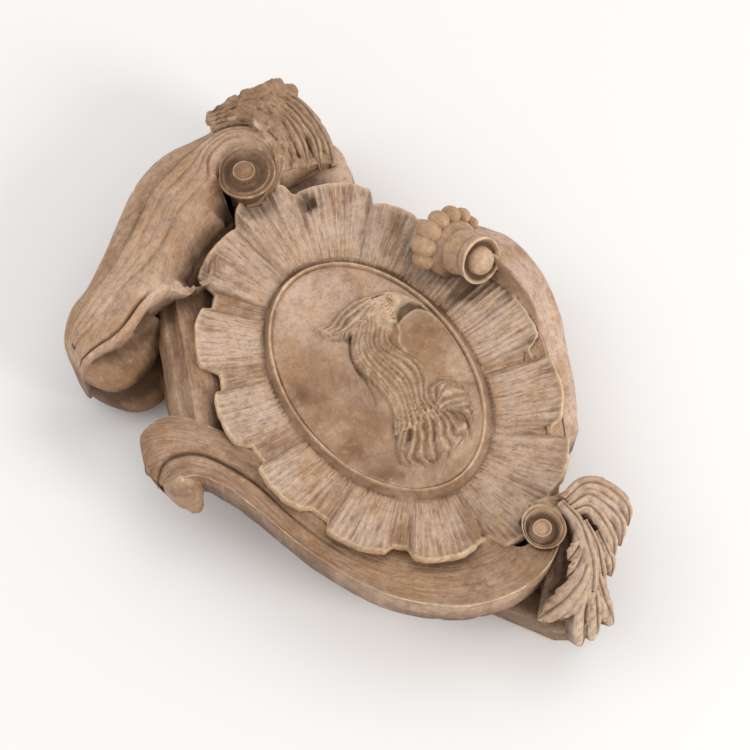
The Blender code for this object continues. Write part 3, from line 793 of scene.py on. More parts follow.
def carve_medallion(size):
    """The oval medallion with its sharp rim, crowned field and the bird's head."""
    wide, tall = MEDALLION_STEPS
    u, v = np.meshgrid(np.linspace(-1, 1, wide), np.linspace(-1, 1, tall))
    disc = np.stack([u * np.sqrt(1 - v * v / 2), v * np.sqrt(1 - u * u / 2)], axis=-1)
    half = np.array([size.medallion_width / UNIT / 2, size.medallion_height / UNIT / 2]) + FIELD_GROW
    field = size.medallion_rise / OUT_UNIT
    plan = disc * half * FIELD_SHARE
    spots = plan.reshape(-1, 2)
    r = np.linalg.norm(spots / half, axis=1)
    edge = spots / (half * FIELD_SHARE)
    spots = spots + FIELD_CENTRE
    head, soil, rub = head_relief(spots, size.head_relief)
    out = field - 0.9 + 1.5 * (1 - r**2) + head
    level_spots = with_out(spots, 0)
    out += 0.3 * lumps(level_spots, 14, 5) + 0.12 * lumps(level_spots, 5, 35)
    stain = np.zeros(len(spots))
    for x, z, wide_stain, strength in FIELD_STAINS:
        far = np.linalg.norm(spots - (x, z), axis=1) / wide_stain
        stain += strength * np.exp(-(far**2)) * (1 + 0.5 * lumps(level_spots, 7, 46))
    bloom = 0.6 * ease(10, 55, spots[:, 1] + 0.3 * spots[:, 0])
    low_left = 1 - ease(5, 60, spots[:, 1] + 0.5 * spots[:, 0])
    stain += 0.27 * low_left * (1 + 0.5 * lumps(level_spots, 16, 62))
    marks = [np.stack([stain, 0.75 * soil, rub, bloom], axis=1)]
    grid = np.arange(wide * tall).reshape(tall, wide)
    faces = np.stack([grid[:-1, :-1], grid[:-1, 1:], grid[1:, 1:], grid[1:, :-1]], axis=-1).reshape(-1, 4)
    faces = faces.tolist()
    loop = np.concatenate([grid[0, :-1], grid[:-1, -1], grid[-1, :0:-1], grid[:0:-1, 0]])
    points = [with_out(spots, out)]
    edge = edge[loop]
    edge_out = out[loop]
    first = len(spots)
    last_ids = loop
    away = edge * half[::-1]
    away /= np.linalg.norm(away, axis=1)[:, None]
    rim = edge * half + FIELD_CENTRE
    for inset, rise, dark, light in RIM_PROFILE:
        level = np.where(rise > -5, field - 0.3 + rise, MEDALLION_SUNK)
        if inset > 4:
            level = edge_out * (inset - 4) / 2 + level * (1 - (inset - 4) / 2)
        ring = with_out(rim - away * inset, level)
        points.append(ring)
        cove = 0.5 if inset < 2.2 else 0.12
        marks.append(np.tile((cove, dark, light, 0), (len(loop), 1)))
        ids = np.arange(first, first + len(loop))
        for i in range(len(loop)):
            j = (i + 1) % len(loop)
            faces.append((int(last_ids[i]), int(last_ids[j]), int(ids[j]), int(ids[i])))
        last_ids = ids
        first += len(loop)
    faces.append(tuple(int(i) for i in last_ids))
    stain, soil, rub, bloom = np.concatenate(marks).T
    block("medallion", np.concatenate(points), faces, stain=stain, soil=soil, rub=rub, patina=bloom)


def moulded(v, fade, plan):
    """The left scroll's mouldings (hollow band, three worn reeds, broad round) and how deep the cuts are."""
    level_plan = with_out(plan, 0)
    rub = 0.65 + 0.45 * lumps(level_plan, 26, 31)
    shift = 0.008 * lumps(level_plan, 12, 32)
    cut = np.zeros_like(rub)
    for place, depth, wide in LEFT_GROOVES:
        cut = cut - depth * np.exp(-(((v - place + shift) / wide) ** 2)) * rub
    reeds = 0
    for start, wide, tall in LEFT_REEDS:
        reeds = reeds + tall * np.sin(np.pi * np.clip((v - start) / wide, 0, 1))
    return (cut + reeds) * fade, np.clip(-cut, 0, 1) * fade


def carve_left_scroll(size):
    """The broad moulded scroll on the left, coiled at its top, with its free end rolled over."""
    outer = curve(LEFT_OUTER, LEFT_STEPS)
    inner = curve(LEFT_INNER, LEFT_STEPS)
    crest = curve(LEFT_CREST, LEFT_STEPS)
    lines = [groove[0] for groove in LEFT_GROOVES] + [END_LINE]
    near_lines = [place + step for place in lines for step in (-0.022, -0.011, 0, 0.011, 0.022)]
    v = np.unique(np.concatenate([np.linspace(0, 1, 36), near_lines]))
    section = np.stack([np.linspace(0, 1, len(LEFT_SECTION)), LEFT_SECTION], axis=1)
    smooth = curve(section, 80)
    base = np.interp(v, smooth[:, 0], smooth[:, 1]) - 2.2 * ease(0.96, 1.0, v) ** 2 - 1.2 * ease(0.03, 0.0, v)
    width = np.linalg.norm(outer - inner, axis=1)[:, None]
    fade = np.clip(width / 36, 0.3, 1)
    scale = np.clip(width / 36, 0.35, 1)
    along = np.linspace(0, 1, LEFT_STEPS)[:, None]
    roll_over = 13 * (1 - np.sqrt(1 - np.clip((along - 0.945) / 0.055, 0, 1) ** 2))
    plan = across(outer, inner, v)
    mould, cuts = moulded(v[None, :], fade, plan)
    end_line = np.exp(-(((v - END_LINE) / 0.016) ** 2)) * ease(0.8, 0.86, along)
    coil_dip = 4.5 * (1 - ease(0.42, 0.56, along)) * ease(0.35, 0.8, v)
    out = crest + base * scale + mould - roll_over - 1.9 * end_line - coil_dip
    sway = lumps(with_out(plan, 0), 22, 6) * 0.7 + lumps(with_out(plan, 0), 7, 33) * 0.25
    tall = out + sway
    cap = above_ruffle(plan, size) + 50 * (1 - ease(0.4, 0.48, along))
    out = np.minimum(tall, cap)
    back = []
    for share, level in LEFT_WALL:
        back.append(side_line(outer, inner, share, out[:, :1], level, LEFT_SUNK))
    for share, level in LEFT_INSIDE:
        back.append(side_line(outer, inner, share, out[:, -1:], level, LEFT_SUNK))
    near_coil = 1 - ease(0.2, 0.55, along)
    outer_band = 1 - ease(0.18, 0.22, v)
    strip(
        "left scroll", with_out(plan, out), np.concatenate(back, axis=1), comb=0.5,
        stain=0.03 + 0.4 * near_coil + 0.3 * outer_band + 0 * out,
        patina=0.35 * (1 - near_coil) * ease(0.2, 0.4, v) + 0 * out,
        # Grime in the cuts and the end line, and painted shade where the scroll is pressed down under the
        # ruffle's edge.
        soil=np.clip(0.75 * cuts + 0.7 * end_line + 0.4 * ease(3, 26, tall - out), 0, 1),
        rub=0.35 * np.exp(-(((v - 0.03) / 0.02) ** 2)) + 0.3 * np.exp(-(((v - 0.96) / 0.015) ** 2)) + 0 * out,
    )


def carve_left_bed():
    """The deep bed of stone behind the ruffle, with one reed along it."""
    outer = curve(BED_OUTER, BED_STEPS)
    inner = curve(BED_INNER, BED_STEPS)
    level = curve(BED_OUT, BED_STEPS)
    v = np.linspace(0, 1, 24)
    reed = 2.6 * np.exp(-(((v - 0.4) / 0.045) ** 2)) - 1.8 * np.exp(-(((v - 0.28) / 0.06) ** 2))
    plan = across(outer, inner, v)
    out = level + 4 * np.sin(np.pi * v) + reed - 9 * ease(0.16, 0.0, v) ** 2 - 7 * ease(0.5, 0.9, v)
    out = out + 0.9 * lumps(with_out(plan, 0), 11, 61)
    back = [with_out(across(outer, inner, [share]), height) for share, height in BED_SIDES]
    strip(
        "left bed", with_out(plan, out), np.concatenate(back, axis=1), comb=0.6, stain=0.46,
        # Darker in the reed's hollow, with painted shade along its inner side under the ruffle and at its
        # upper end under the left scroll's edge.
        soil=0.3 * (reed < -0.6) + 0.3 * ease(0.5, 0.9, v) + 0.4 * ease(90, 104, plan[:, :, 1]),
    )


def carve_foot():
    """The waisted foot under the left scroll's free end."""
    top = curve(FOOT_TOP + FOOT_TOP[:1], FOOT_STEPS + 1)[:-1]
    base = curve(FOOT_BASE + FOOT_BASE[:1], FOOT_STEPS + 1)[:-1]
    middle = top.mean(axis=0)
    rings = []
    for out, blend, swell, _ in FOOT_PROFILE:
        ring = base * (1 - blend) + top * blend
        rings.append(with_out(middle + (ring - middle) * swell, out))
    creases = np.repeat([row[3] for row in FOOT_PROFILE], FOOT_STEPS)
    loft("left foot", rings, stain=0.42, soil=creases)


def volute(name, eye, eye_radius, arris, depth, sink, stain):
    """A volute's face: an arris that winds round a hollow, with a lipped eye standing in it."""
    count = VOLUTE_STEPS
    angle = np.linspace(0, 2 * math.pi, count, endpoint=False)
    circle = np.stack([np.cos(angle), np.sin(angle)], axis=1)
    table = curve(arris, 200)
    turn = (np.degrees(angle) - table[0, 0]) % 360 + table[0, 0]
    reach = np.interp(turn, table[:, 0], table[:, 1])
    rim = np.interp(turn, table[:, 0], table[:, 2])
    eye = np.array(eye, float)
    rings = []
    soil = []
    rub = []
    # The stem under the face is painted dark as shade.
    for level, narrow in ((-sink, 0.55),) + VOLUTE_STEM:
        rings.append(with_out(eye[:2] + circle * (reach * narrow)[:, None], eye[2] + rim + level))
        soil.append(np.full(count, 0.5))
        rub.append(np.zeros(count))
    for q in VOLUTE_FACE:
        r = reach + (eye_radius * 1.1 - reach) * q
        crest = math.exp(-(((q - 0.09) / 0.06) ** 2))
        second = math.exp(-(((q - 0.38) / 0.05) ** 2)) * ease(5, 11, reach - eye_radius)
        outer_dip = 0.3 * math.sin(math.pi * min(q / 0.38, 1))
        dip = depth * (outer_dip + ease(0.38, 0.6, q) * (1 - 0.5 * ease(0.75, 1, q)))
        out = rim * (1 - q) + 1.7 * crest + 1.1 * second - dip
        out = out - 1.6 * (1 - min(q / 0.06, 1)) ** 2
        rings.append(with_out(eye[:2] + circle * r[:, None], eye[2] + out))
        # Painted shade in the hollow round the eye, kept off the second arris.
        shade = 0.15 * ease(0.12, 0.3, q) + 0.3 * ease(0.45, 0.8, q)
        soil.append(shade * (1 - second))
        rub.append(0.9 * crest * ease(-3, 0, rim) + 0.7 * second)
    for r, out, light in EYE_PROFILE:
        rings.append(with_out(eye[:2] + circle * eye_radius * r, eye[2] + out))
        soil.append(np.full(count, 0.5 * (r == 1.0)))
        rub.append(np.full(count, light))
    loft(name, rings, comb=0.2, stain=stain, soil=np.concatenate(soil), rub=np.concatenate(rub))


def carve_lower_scroll():
    """The long channelled scroll underneath, rolled back on the left and coiled on the right."""
    outer = curve(LOWER_OUTER, LOWER_STEPS)
    inner = curve(LOWER_INNER, LOWER_STEPS)
    arris = curve(LOWER_ARRIS, LOWER_STEPS)
    inside = curve(LOWER_INSIDE, LOWER_STEPS)
    v = np.concatenate([[0, 0.012, 0.024, 0.038, 0.055], np.linspace(0.08, 1, 29)])
    width = np.linalg.norm(outer - inner, axis=1)[:, None]
    fill = np.clip(width / 30, 0, 1)
    along = np.linspace(0, 1, LOWER_STEPS)[:, None]
    dip = 5.5 * np.sin(np.pi * v**0.8) ** 0.9 * fill
    plan = across(outer, inner, v)
    worn = 0.5 + 0.6 * lumps(with_out(plan, 0), 30, 34)
    lines = 0.4 * np.cos(2 * np.pi * v * 9) * ease(0.06, 0.12, v) * (1 - ease(0.6, 0.75, v)) * fill * worn
    left = 1 - ease(0.17, 0.42, along)
    lobe = 5.5 * left * np.exp(-(((v - 0.8) / 0.19) ** 2))
    crease = -1.6 * left * np.exp(-(((v - 0.5) / 0.03) ** 2))
    crease = crease - 1.0 * left * np.exp(-(((v - 0.3) / 0.02) ** 2))
    lip = 1.9 * np.exp(-(((v - 0.026) / 0.02) ** 2)) - 0.8 * (v < 0.01)
    end = 1 - np.sqrt(1 - np.clip((0.045 - along) / 0.045, 0, 1) ** 2)
    out = arris * (1 - v) + inside * v - dip + (lines + lobe + crease) + lip * fill - 12 * end
    sway = lumps(with_out(plan, 0), 18, 7) * 0.7
    front = with_out(plan, out + sway)
    back = []
    floor = 8 + 30 * (1 - ease(0.1, 0.2, along))
    for share, drop in LOWER_WALL:
        back.append(with_out(across(outer, inner, [share]), np.maximum(out[:, :1] - drop, floor)))
    for share in (0.35, 0.7):
        back.append(with_out(across(outer, inner, [share]), floor))
    for level in (0.1, 0.5, 0.8):
        back.append(side_line(outer, inner, 1.0, out[:, -1:], level, floor))
    cuts = np.clip(-crease / 1.6, 0, 1) * 0.8 + np.clip(-lines / 0.4, 0, 1) * 0.22
    cuts = cuts + 0.22 * ease(0.045, 0.08, v) * (1 - ease(0.1, 0.3, v))
    strip(
        "lower scroll", front, np.concatenate(back, axis=1), comb=0.6,
        stain=0.1 + 0.25 * left + 0.25 * ease(0.45, 0.9, v) + 0.22 * (v < 0.005) + 0 * out,
        soil=np.clip(cuts + 0.12 * (v < 0.005) + 0 * out, 0, 1),
        rub=1.5 * np.exp(-(((v - 0.026) / 0.026) ** 2)) * (v > 0.005) * (0.8 + 0.4 * worn) + 0 * out,
    )


def carve_scroll_knob():
    """The small spiral's eye under the lower scroll's left end, standing out sideways."""
    angle = np.linspace(0, 2 * math.pi, 40, endpoint=False)
    root = np.array(SCROLL_KNOB_ROOT, float)
    tip = np.array(SCROLL_KNOB_TIP, float)
    axis = (tip - root) / np.linalg.norm(tip - root)
    side = np.cross(axis, (0, 0, 1.0))
    side /= np.linalg.norm(side)
    other = np.cross(axis, side)
    rings = []
    for share, radius in SCROLL_KNOB:
        wind = radius * (1 + 0.07 * np.cos(angle + share * 5))
        sideways = side * (np.cos(angle) * wind)[:, None]
        upward = other * (np.sin(angle) * wind)[:, None]
        rings.append(root + (tip - root) * share + sideways + upward)
    loft("scroll knob", rings, stain=0.45)


def roll_frame():
    """The roll's start, its direction and length, and two directions square to it."""
    start = np.array(ROLL_START, float)
    end = np.array(ROLL_END, float)
    length = np.linalg.norm(end - start)
    along = (end - start) / length
    side = np.array([1.0, 0, 0]) - along * along[0]
    side /= np.linalg.norm(side)
    other = np.cross(along, side)
    return start, along, length, side, other


def carve_band():
    """The band down the right side, with the channel between it and the ruffle."""
    outer = curve(BAND_OUTER, BAND_STEPS)
    inner = curve(BAND_INNER, BAND_STEPS)
    low = curve(BAND_OUTER_OUT, BAND_STEPS)
    high = curve(BAND_INNER_OUT, BAND_STEPS)
    v = np.linspace(0, 1, 26)
    out = low * (1 - v) + high * v + 2.2 * np.sin(np.pi * v) - 1.0 * (v < 0.02) - 1.2 * (v > 0.985)
    plan = across(outer, inner, v)
    reach = np.linspace(0.06, 1, 16)
    inward = (inner - outer) / np.linalg.norm(inner - outer, axis=1)[:, None]
    channel = across(inner, inner + inward * CHANNEL_WIDTH, reach)
    floor = CHANNEL_FLOOR + (high - CHANNEL_FLOOR) * (1 - reach) ** 3.2
    plan = np.concatenate([plan, channel], axis=1)
    out = np.concatenate([out, floor], axis=1)
    front = with_out(plan, out + 0.5 * lumps(with_out(plan, 0), 16, 8))
    back = []
    for share, level in BAND_WALL:
        back.append(side_line(outer, inner, share, out[:, :1], level, BAND_SUNK))
    for level in (0.1, 0.6):
        back.append(with_out(channel[:, -1:], out[:, -1:] * level + BAND_SUNK * (1 - level)))
    on_band = (np.arange(out.shape[1]) < len(v)) + 0 * out
    strip(
        "side band", front, np.concatenate(back, axis=1), comb=0.4, patina=0.75 * on_band,
        stain=0.16 * (1 - on_band), soil=0.1 * (1 - on_band),
    )


def carve_roll():
    """The waisted roll at the band's top, with a ball in its rimmed end."""
    start, along, length, side, other = roll_frame()
    angle = np.linspace(0, 2 * math.pi, ROLL_STEPS, endpoint=False)
    circle = np.cos(angle)[:, None] * side + np.sin(angle)[:, None] * other
    rings = []
    marks = []
    for share, radius in curve(ROLL_WAIST, 34):
        groove = sum(math.exp(-(((share - place) / 0.022) ** 2)) for place in ROLL_GROOVES)
        wind = radius * (1 + 0.025 * np.cos(angle * 2 + share * 5)) - 0.8 * groove
        rings.append(start + along * length * share + circle * wind[:, None])
        marks.append((0.75 * min(groove, 1), 0.15))
    for radius, push, dark, light in ROLL_EYE:
        rings.append(start + along * (length + push) + circle * radius)
        marks.append((dark, light))
    soil, rub = np.repeat(np.array(marks), ROLL_STEPS, axis=0).T
    loft("roll", rings, patina=0.3, soil=soil, rub=rub)


def carve_beads(size):
    """The row of long beads round the roll's foot."""
    start, along, _, side, other = roll_frame()
    angle = np.linspace(0, 2 * math.pi, ROLL_STEPS, endpoint=False)[::3]
    circle = np.cos(angle)[:, None] * side + np.sin(angle)[:, None] * other
    for i in range(size.beads):
        turn = math.radians(BEAD_START - BEAD_STEP * i)
        centre = start + (side * math.cos(turn) + other * math.sin(turn)) * BEAD_CIRCLE
        radius = size.bead_radius / UNIT * BEAD_SIZES[i % len(BEAD_SIZES)]
        rings = []
        for j in range(1, 14):
            tilt = math.pi * j / 14
            rings.append(centre + along * math.cos(tilt) * radius * 1.35 + circle * math.sin(tilt) * radius)
        loft(f"bead {i + 1}", rings, stain=0.04, rub=0.15)


def leaf_bed(name, root, edge, root_out, edge_out, clear, ribs, lean, rough, **marks):
    """The body of a leaf under its leaflets, ribbed where it shows."""
    root = curve(root, LEAF_STEPS)
    edge = curve(edge, LEAF_STEPS)
    root_out = curve(root_out, LEAF_STEPS)
    edge_out = curve(edge_out, LEAF_STEPS)
    inward = root * 1.25 - edge * 0.25
    v = np.linspace(0, 1, 26)
    plan = across(inward, edge, v)
    u = np.linspace(0, 1, LEAF_STEPS)[:, None]
    phase = v * lean[0] + u * lean[1] + 0.5 * lumps(with_out(plan, 0), 14, 36)
    rib = np.abs(np.sin(np.pi * phase)) ** 0.6
    out = root_out * (1 - v) + edge_out * v + 3 * np.sin(np.pi * v) - 9 * ease(0.86, 1.0, v) ** 2
    out = out + ribs * rib + 1.1 * rough * lumps(with_out(plan, 0), 7, 11)
    out = out + 0.5 * rough * lumps(with_out(plan, 0), 3, 37)
    back = [with_out(across(inward, edge, [0.0]), clear)]
    for share, level in ((0.8, 0.0), (0.9, 0.12), (0.95, 0.28), (0.99, 0.5), (1.0, 0.75)):
        jag = 0.03 * lumps(with_out(plan[:, -1:], level * 30), 8, 38)
        line = across(inward, edge, [share])[:, 0] + (edge - inward) * jag
        back.append(with_out(line, out[:, -1] * level + clear * (1 - level))[:, None])
    soil = 0.6 * (1 - rib) ** 2
    strip(name, with_out(plan, out), np.concatenate(back, axis=1), comb=0.4, soil=soil, **marks)


def leaflet(name, line, half, thick, seed, stain, patina):
    """One tapered leaflet over the bed: toothed edges, a groove down the middle and side veins."""
    path = curve(line, LEAFLET_STEPS)
    tangent = np.gradient(path, axis=0)
    tangent /= np.linalg.norm(tangent, axis=1)[:, None]
    outward = np.array([0.3, -0.1, 1.0])
    side = np.cross(tangent, outward)
    side /= np.linalg.norm(side, axis=1)[:, None]
    up = np.cross(side, tangent)
    s = np.linspace(0, 1, LEAFLET_STEPS)
    taper = np.sqrt(1 - np.clip((s - 0.72) / 0.285, 0, 1) ** 2)
    width = half * (0.6 + 0.5 * np.sin(np.pi * np.clip(s * 0.85 + 0.1, 0, 1))) * taper
    teeth = (s * 3.5 + seed * 0.37) % 1
    width = width * (0.86 + 0.2 * teeth**0.7 * ease(0.25, 0.5, s))
    rings = []
    marks = []
    run = []
    length = np.linalg.norm(np.diff(path, axis=0), axis=1).sum()
    w = np.linspace(-1, 1, 17)
    for i in range(LEAFLET_STEPS):
        lean = s[i] * 4.5 - np.abs(w) * 0.9
        veins = 0.55 * np.cos(2 * np.pi * lean) * np.abs(w) * (1 - np.abs(w) ** 4)
        rise = 1.5 * np.cos(w * np.pi / 2) - 1.1 * np.exp(-((w / 0.12) ** 2)) + veins - 1.0 * np.abs(w) ** 3
        rise = (rise - 2.2 * (1 - taper[i])) * (0.4 + 0.6 * taper[i])
        top = path[i] + side[i] * (w * width[i])[:, None] + up[i] * rise[:, None]
        low = path[i] - up[i] * (thick * (0.25 + 0.75 * taper[i]))
        under = [low + side[i] * width[i] * 0.7, low - side[i] * width[i] * 0.7]
        rings.append(np.vstack([top, under]))
        # Darkening along the middle groove and the veins, and painted shade towards the edges and on the two
        # points underneath.
        cuts = 0.65 * np.exp(-((w / 0.13) ** 2)) + 0.6 * np.clip(-veins / 0.4, 0, 1)
        cuts = cuts + 0.35 * ease(0.7, 1, np.abs(w))
        sides = np.append(w, (1.0, -1.0)) * width[i] * 1.6 + seed * 7.3
        run.append(np.stack([sides, np.full(len(sides), s[i] * length)], axis=1))
        tops = 0.3 * np.clip(veins / 0.4, 0, 1) + 0.3 * np.exp(-(((np.abs(w) - 0.45) / 0.2) ** 2))
        marks.append(np.stack([np.append(cuts, (0.7, 0.7)), np.append(tops, (0, 0))]))
    soil, rub = np.array(marks).transpose(1, 0, 2).reshape(2, -1)
    loft(name, rings, run=np.concatenate(run), comb=0.8, soil=soil, rub=rub, patina=patina, stain=stain)


def knob(name, place, radius, seed):
    """A worn, lumpy end of a leaf lobe."""
    angle = np.linspace(0, 2 * math.pi, KNOB_STEPS, endpoint=False)
    rings = []
    for tilt in np.linspace(0.2, math.pi - 0.2, 11):
        ring = np.stack([np.cos(angle), np.sin(angle), angle * 0], axis=1) * math.sin(tilt)
        ring[:, 2] = math.cos(tilt)
        swell = 1 + 0.34 * lumps(ring * 1.3 + seed * 5, 1, 12) + 0.14 * lumps(ring * 4 + seed, 1, 13)
        rings.append(np.array(place) + ring * swell[:, None] * radius * (1.1, 1.1, 0.85))
    loft(name, rings, stain=0.5)


def carve_leaves():
    """The leaves that hang over the outer sides of the two volutes."""
    leaf_bed(
        "top leaf bed", ((2, 176), (20, 171), (29, 158), (30, 144), (24, 131)),
        ((6, 187), (30, 185), (54, 179), (61, 160), (57, 130)), (77, 78, 78, 76, 70), (72, 73, 66, 57, 48),
        9, 2.3, (6.4, 1.2), 2.2, stain=0.52,
    )
    leaf_bed(
        "low leaf bed", ((24, -111), (29, -117), (30.5, -125), (26, -134), (17, -141), (6, -145)),
        ((42, -113), (57, -114), (60, -132), (42, -150), (23, -174), (-2, -153)), (68, 67, 65, 63, 60, 54),
        (56, 52, 42, 38, 18, 26), 10, 0.8, (7.2, -8), 1, stain=0.2,
    )
    for i, (place, radius) in enumerate(TOP_KNOBS):
        knob(f"top knob {i + 1}", place, radius, i)
    for i, (line, half, thick) in enumerate(TOP_LEAFLETS):
        leaflet(f"top leaflet {i + 1}", line, half, thick, i + 3, 0.48, 0)
    for i, (line, half, thick) in enumerate(LOW_LEAFLETS):
        leaflet(f"low leaflet {i + 1}", line, half, thick, i + 20, 0, 0.75)


def join_blocks():
    """Unite every block into one mesh, and give it with the blocks it came from."""
    home = bpy.data.collections[BLOCKS]
    pieces = list(home.objects)
    body = next(piece for piece in pieces if piece.name == "slab")
    for piece in pieces:
        if piece is body:
            continue
        union = body.modifiers.new(piece.name, "BOOLEAN")
        union.operation = "UNION"
        union.solver = "MANIFOLD"
        union.object = piece
    graph = bpy.context.evaluated_depsgraph_get()
    mesh = bpy.data.meshes.new_from_object(body.evaluated_get(graph))
    for layer in list(mesh.attributes):
        if layer.name in MARKS + ("run",):
            mesh.attributes.remove(layer)
    drop_doubled_faces(mesh)
    return mesh, pieces


def drop_doubled_faces(mesh):
    """Take out pairs of faces on the same corners, which the joining can leave behind as flat scraps."""
    work = bmesh.new()
    work.from_mesh(mesh)
    first = {}
    doubled = []
    for face in work.faces:
        corners = frozenset(corner.index for corner in face.verts)
        if corners in first:
            doubled += [first[corners], face]
        first[corners] = face
    bmesh.ops.delete(work, geom=doubled, context="FACES")
    work.to_mesh(mesh)
    work.free()


def read_points(mesh):
    """A mesh's points as an array."""
    flat = np.empty(len(mesh.vertices) * 3, np.float32)
    mesh.vertices.foreach_get("co", flat)
    return flat.reshape(-1, 3)


def marks_from(pieces, points):
    """The finishing marks and the tool direction of the nearest point of the blocks, for each point."""
    places = []
    values = []
    for piece in pieces:
        mesh = piece.data
        count = len(mesh.vertices)
        row = np.empty((count, len(MARKS) + 2), np.float32)
        for column, mark in enumerate(MARKS):
            one = np.empty(count, np.float32)
            mesh.attributes[mark].data.foreach_get("value", one)
            row[:, column] = one
        run = np.empty(count * 2, np.float32)
        mesh.attributes["run"].data.foreach_get("vector", run)
        row[:, len(MARKS):] = run.reshape(-1, 2)
        places.append(read_points(mesh))
        values.append(row)
    tree = tree_of(np.concatenate(places))
    nearest = np.array([tree.find(point)[1] for point in points])
    return np.concatenate(values)[nearest]


class Surface:
    """A mesh's points, neighbours and normals as arrays."""

    def __init__(self, mesh):
        self.mesh = mesh
        count = len(mesh.vertices)
        self.points = read_points(mesh).astype(float)
        edges = np.empty(len(mesh.edges) * 2, np.int32)
        mesh.edges.foreach_get("vertices", edges)
        edges = edges.reshape(-1, 2)
        self.here = np.concatenate([edges[:, 0], edges[:, 1]])
        self.there = np.concatenate([edges[:, 1], edges[:, 0]])
        self.count = count
        self.many = np.maximum(np.bincount(self.here, minlength=count), 1)
        lengths = np.linalg.norm(self.points[self.here] - self.points[self.there], axis=1) / UNIT
        self.spacing = self.smooth(np.bincount(self.here, lengths, count) / self.many, 2)
        self.read_normals()

    def units(self):
        """The points in units: across, up, out from the wall."""
        return np.stack([self.points[:, 0], self.points[:, 2], -self.points[:, 1]], axis=1) / UNIT

    def read_normals(self):
        """Take the normals from the mesh."""
        flat = np.empty(self.count * 3, np.float32)
        self.mesh.vertices.foreach_get("normal", flat)
        self.normals = flat.reshape(-1, 3).astype(float)

    def smooth(self, values, times):
        """Values on the points, drawn towards their neighbours' mean a number of times."""
        values = np.array(values, float)
        for _ in range(times):
            if values.ndim == 1:
                mean = np.bincount(self.here, values[self.there], self.count) / self.many
            else:
                around = values[self.there].T
                columns = [np.bincount(self.here, column, self.count) for column in around]
                mean = np.stack(columns, axis=1) / self.many[:, None]
            values = values * 0.4 + mean * 0.6
        return values

    def hollow(self, times):
        """How hollow the surface is at each point, whatever its points' spacing, with ridges negative."""
        moved = self.smooth(self.points, times) - self.points
        return (moved * self.normals).sum(axis=1) / UNIT / np.clip(self.spacing / 0.9, 0.7, 6) ** 2

    def write(self):
        """Put the points back on the mesh."""
        self.mesh.vertices.foreach_set("co", self.points.astype(np.float32).ravel())
        self.mesh.update()
        self.read_normals()


def from_chip(units, chip):
    """How far each point is from the middle of a chip, in the chip's radii."""
    return np.linalg.norm(units - chip[:3], axis=1) / chip[3]


def from_pit(units):
    """How far each point is from the middle of the broken pit, in its radii."""
    return np.linalg.norm((units - PIT[:3]) / PIT_STRETCH, axis=1) / PIT[3]


def chipped(surface):
    """How freshly chipped each point is, and how deep it lies in the broken pit."""
    units = surface.units()
    fresh = np.zeros(surface.count)
    rough = 0.7 + 0.5 * lumps(units, 2.2, 26)
    for chip in CHIPS:
        fresh = np.maximum(fresh, np.exp(-((from_chip(units, chip) / 1.1) ** 4)) * rough)
    return fresh, np.exp(-(from_pit(units) ** 4))


def weather(surface, wear):
    """Rub the tool-fresh surface down a little, unevenly, and keep the back flat and inside the CAD box."""
    units = surface.units()
    back = surface.points[:, 1] > -BACK_DEPTH
    push = 0.32 * lumps(units, 13, 1) + 0.14 * lumps(units, 4.5, 2) + 0.09 * lumps(units, 1.8, 3) - 0.3
    pits = np.clip(lumps(units, 2.6, 21) - 0.62, 0, 1) * np.clip(lumps(units, 17, 22) + 0.25, 0, 1)
    push -= 2.6 * pits
    rough = 1 + 0.8 * lumps(units, 1.6, 24)
    for chip in CHIPS:
        push -= 0.35 * chip[3] * np.exp(-(from_chip(units, chip) ** 2)) * rough
    push -= 4.5 * np.exp(-(from_pit(units) ** 3)) * (1 + 0.6 * lumps(units, 3, 25))
    push[back] = 0
    surface.points += surface.normals * (push * wear * UNIT)[:, None]
    surface.points[back, 1] = 0
    surface.points = np.clip(surface.points, LOW, HIGH)
    surface.write()


def height_shadow(surface):
    """Painted shade: how deep each point lies below the carving around it, from 0 to 1, seen at a few
    distances.
    """
    step = 1.5
    units = np.stack([surface.points[:, 0], surface.points[:, 2]], axis=1) / UNIT
    out = -surface.points[:, 1] / OUT_UNIT
    low = units.min(axis=0) - 20
    cells = ((units - low) / step).astype(int)
    shape = cells.max(axis=0) + 14
    tops = np.zeros(shape)
    np.maximum.at(tops, (cells[:, 0], cells[:, 1]), out)
    filled = tops.copy()
    for _ in range(3):
        around = [np.roll(filled, move, axis) for axis in (0, 1) for move in (-1, 1)]
        filled = np.where(filled == 0, np.maximum.reduce(around), filled)
    result = np.zeros(len(out))
    for spread, weight in ((2, 0.5), (5, 0.35), (9, 0.3)):
        blurred = filled.copy()
        moves = range(-spread, spread + 1)
        for axis in (0, 1):
            for _ in range(3):
                blurred = sum(np.roll(blurred, move, axis) for move in moves) / len(moves)
        under = blurred[cells[:, 0], cells[:, 1]] - out
        result += weight * np.clip(under / (4 + spread * 1.6), 0, 1)
    # Painted shade on points hidden under higher stone.
    hidden = np.clip((filled[cells[:, 0], cells[:, 1]] - out - 5) / 25, 0, 1)
    return np.clip(result + 0.3 * hidden, 0, 1)


def link(tree, out, into):
    """Join an output to an input."""
    tree.links.new(out, into)


def node(tree, kind, **settings):
    """A new node with its settings."""
    made = tree.nodes.new(kind)
    for name, value in settings.items():
        setattr(made, name, value)
    return made


def mix_colour(tree, share, first, second, mode="MIX"):
    """Two colours mixed by a share, where each may be a socket or a plain value."""
    made = node(tree, "ShaderNodeMix", data_type="RGBA", blend_type=mode)
    for slot, value in ((0, share), (6, first), (7, second)):
        if isinstance(value, bpy.types.NodeSocket):
            link(tree, value, made.inputs[slot])
        else:
            made.inputs[slot].default_value = value
    return made.outputs[2]


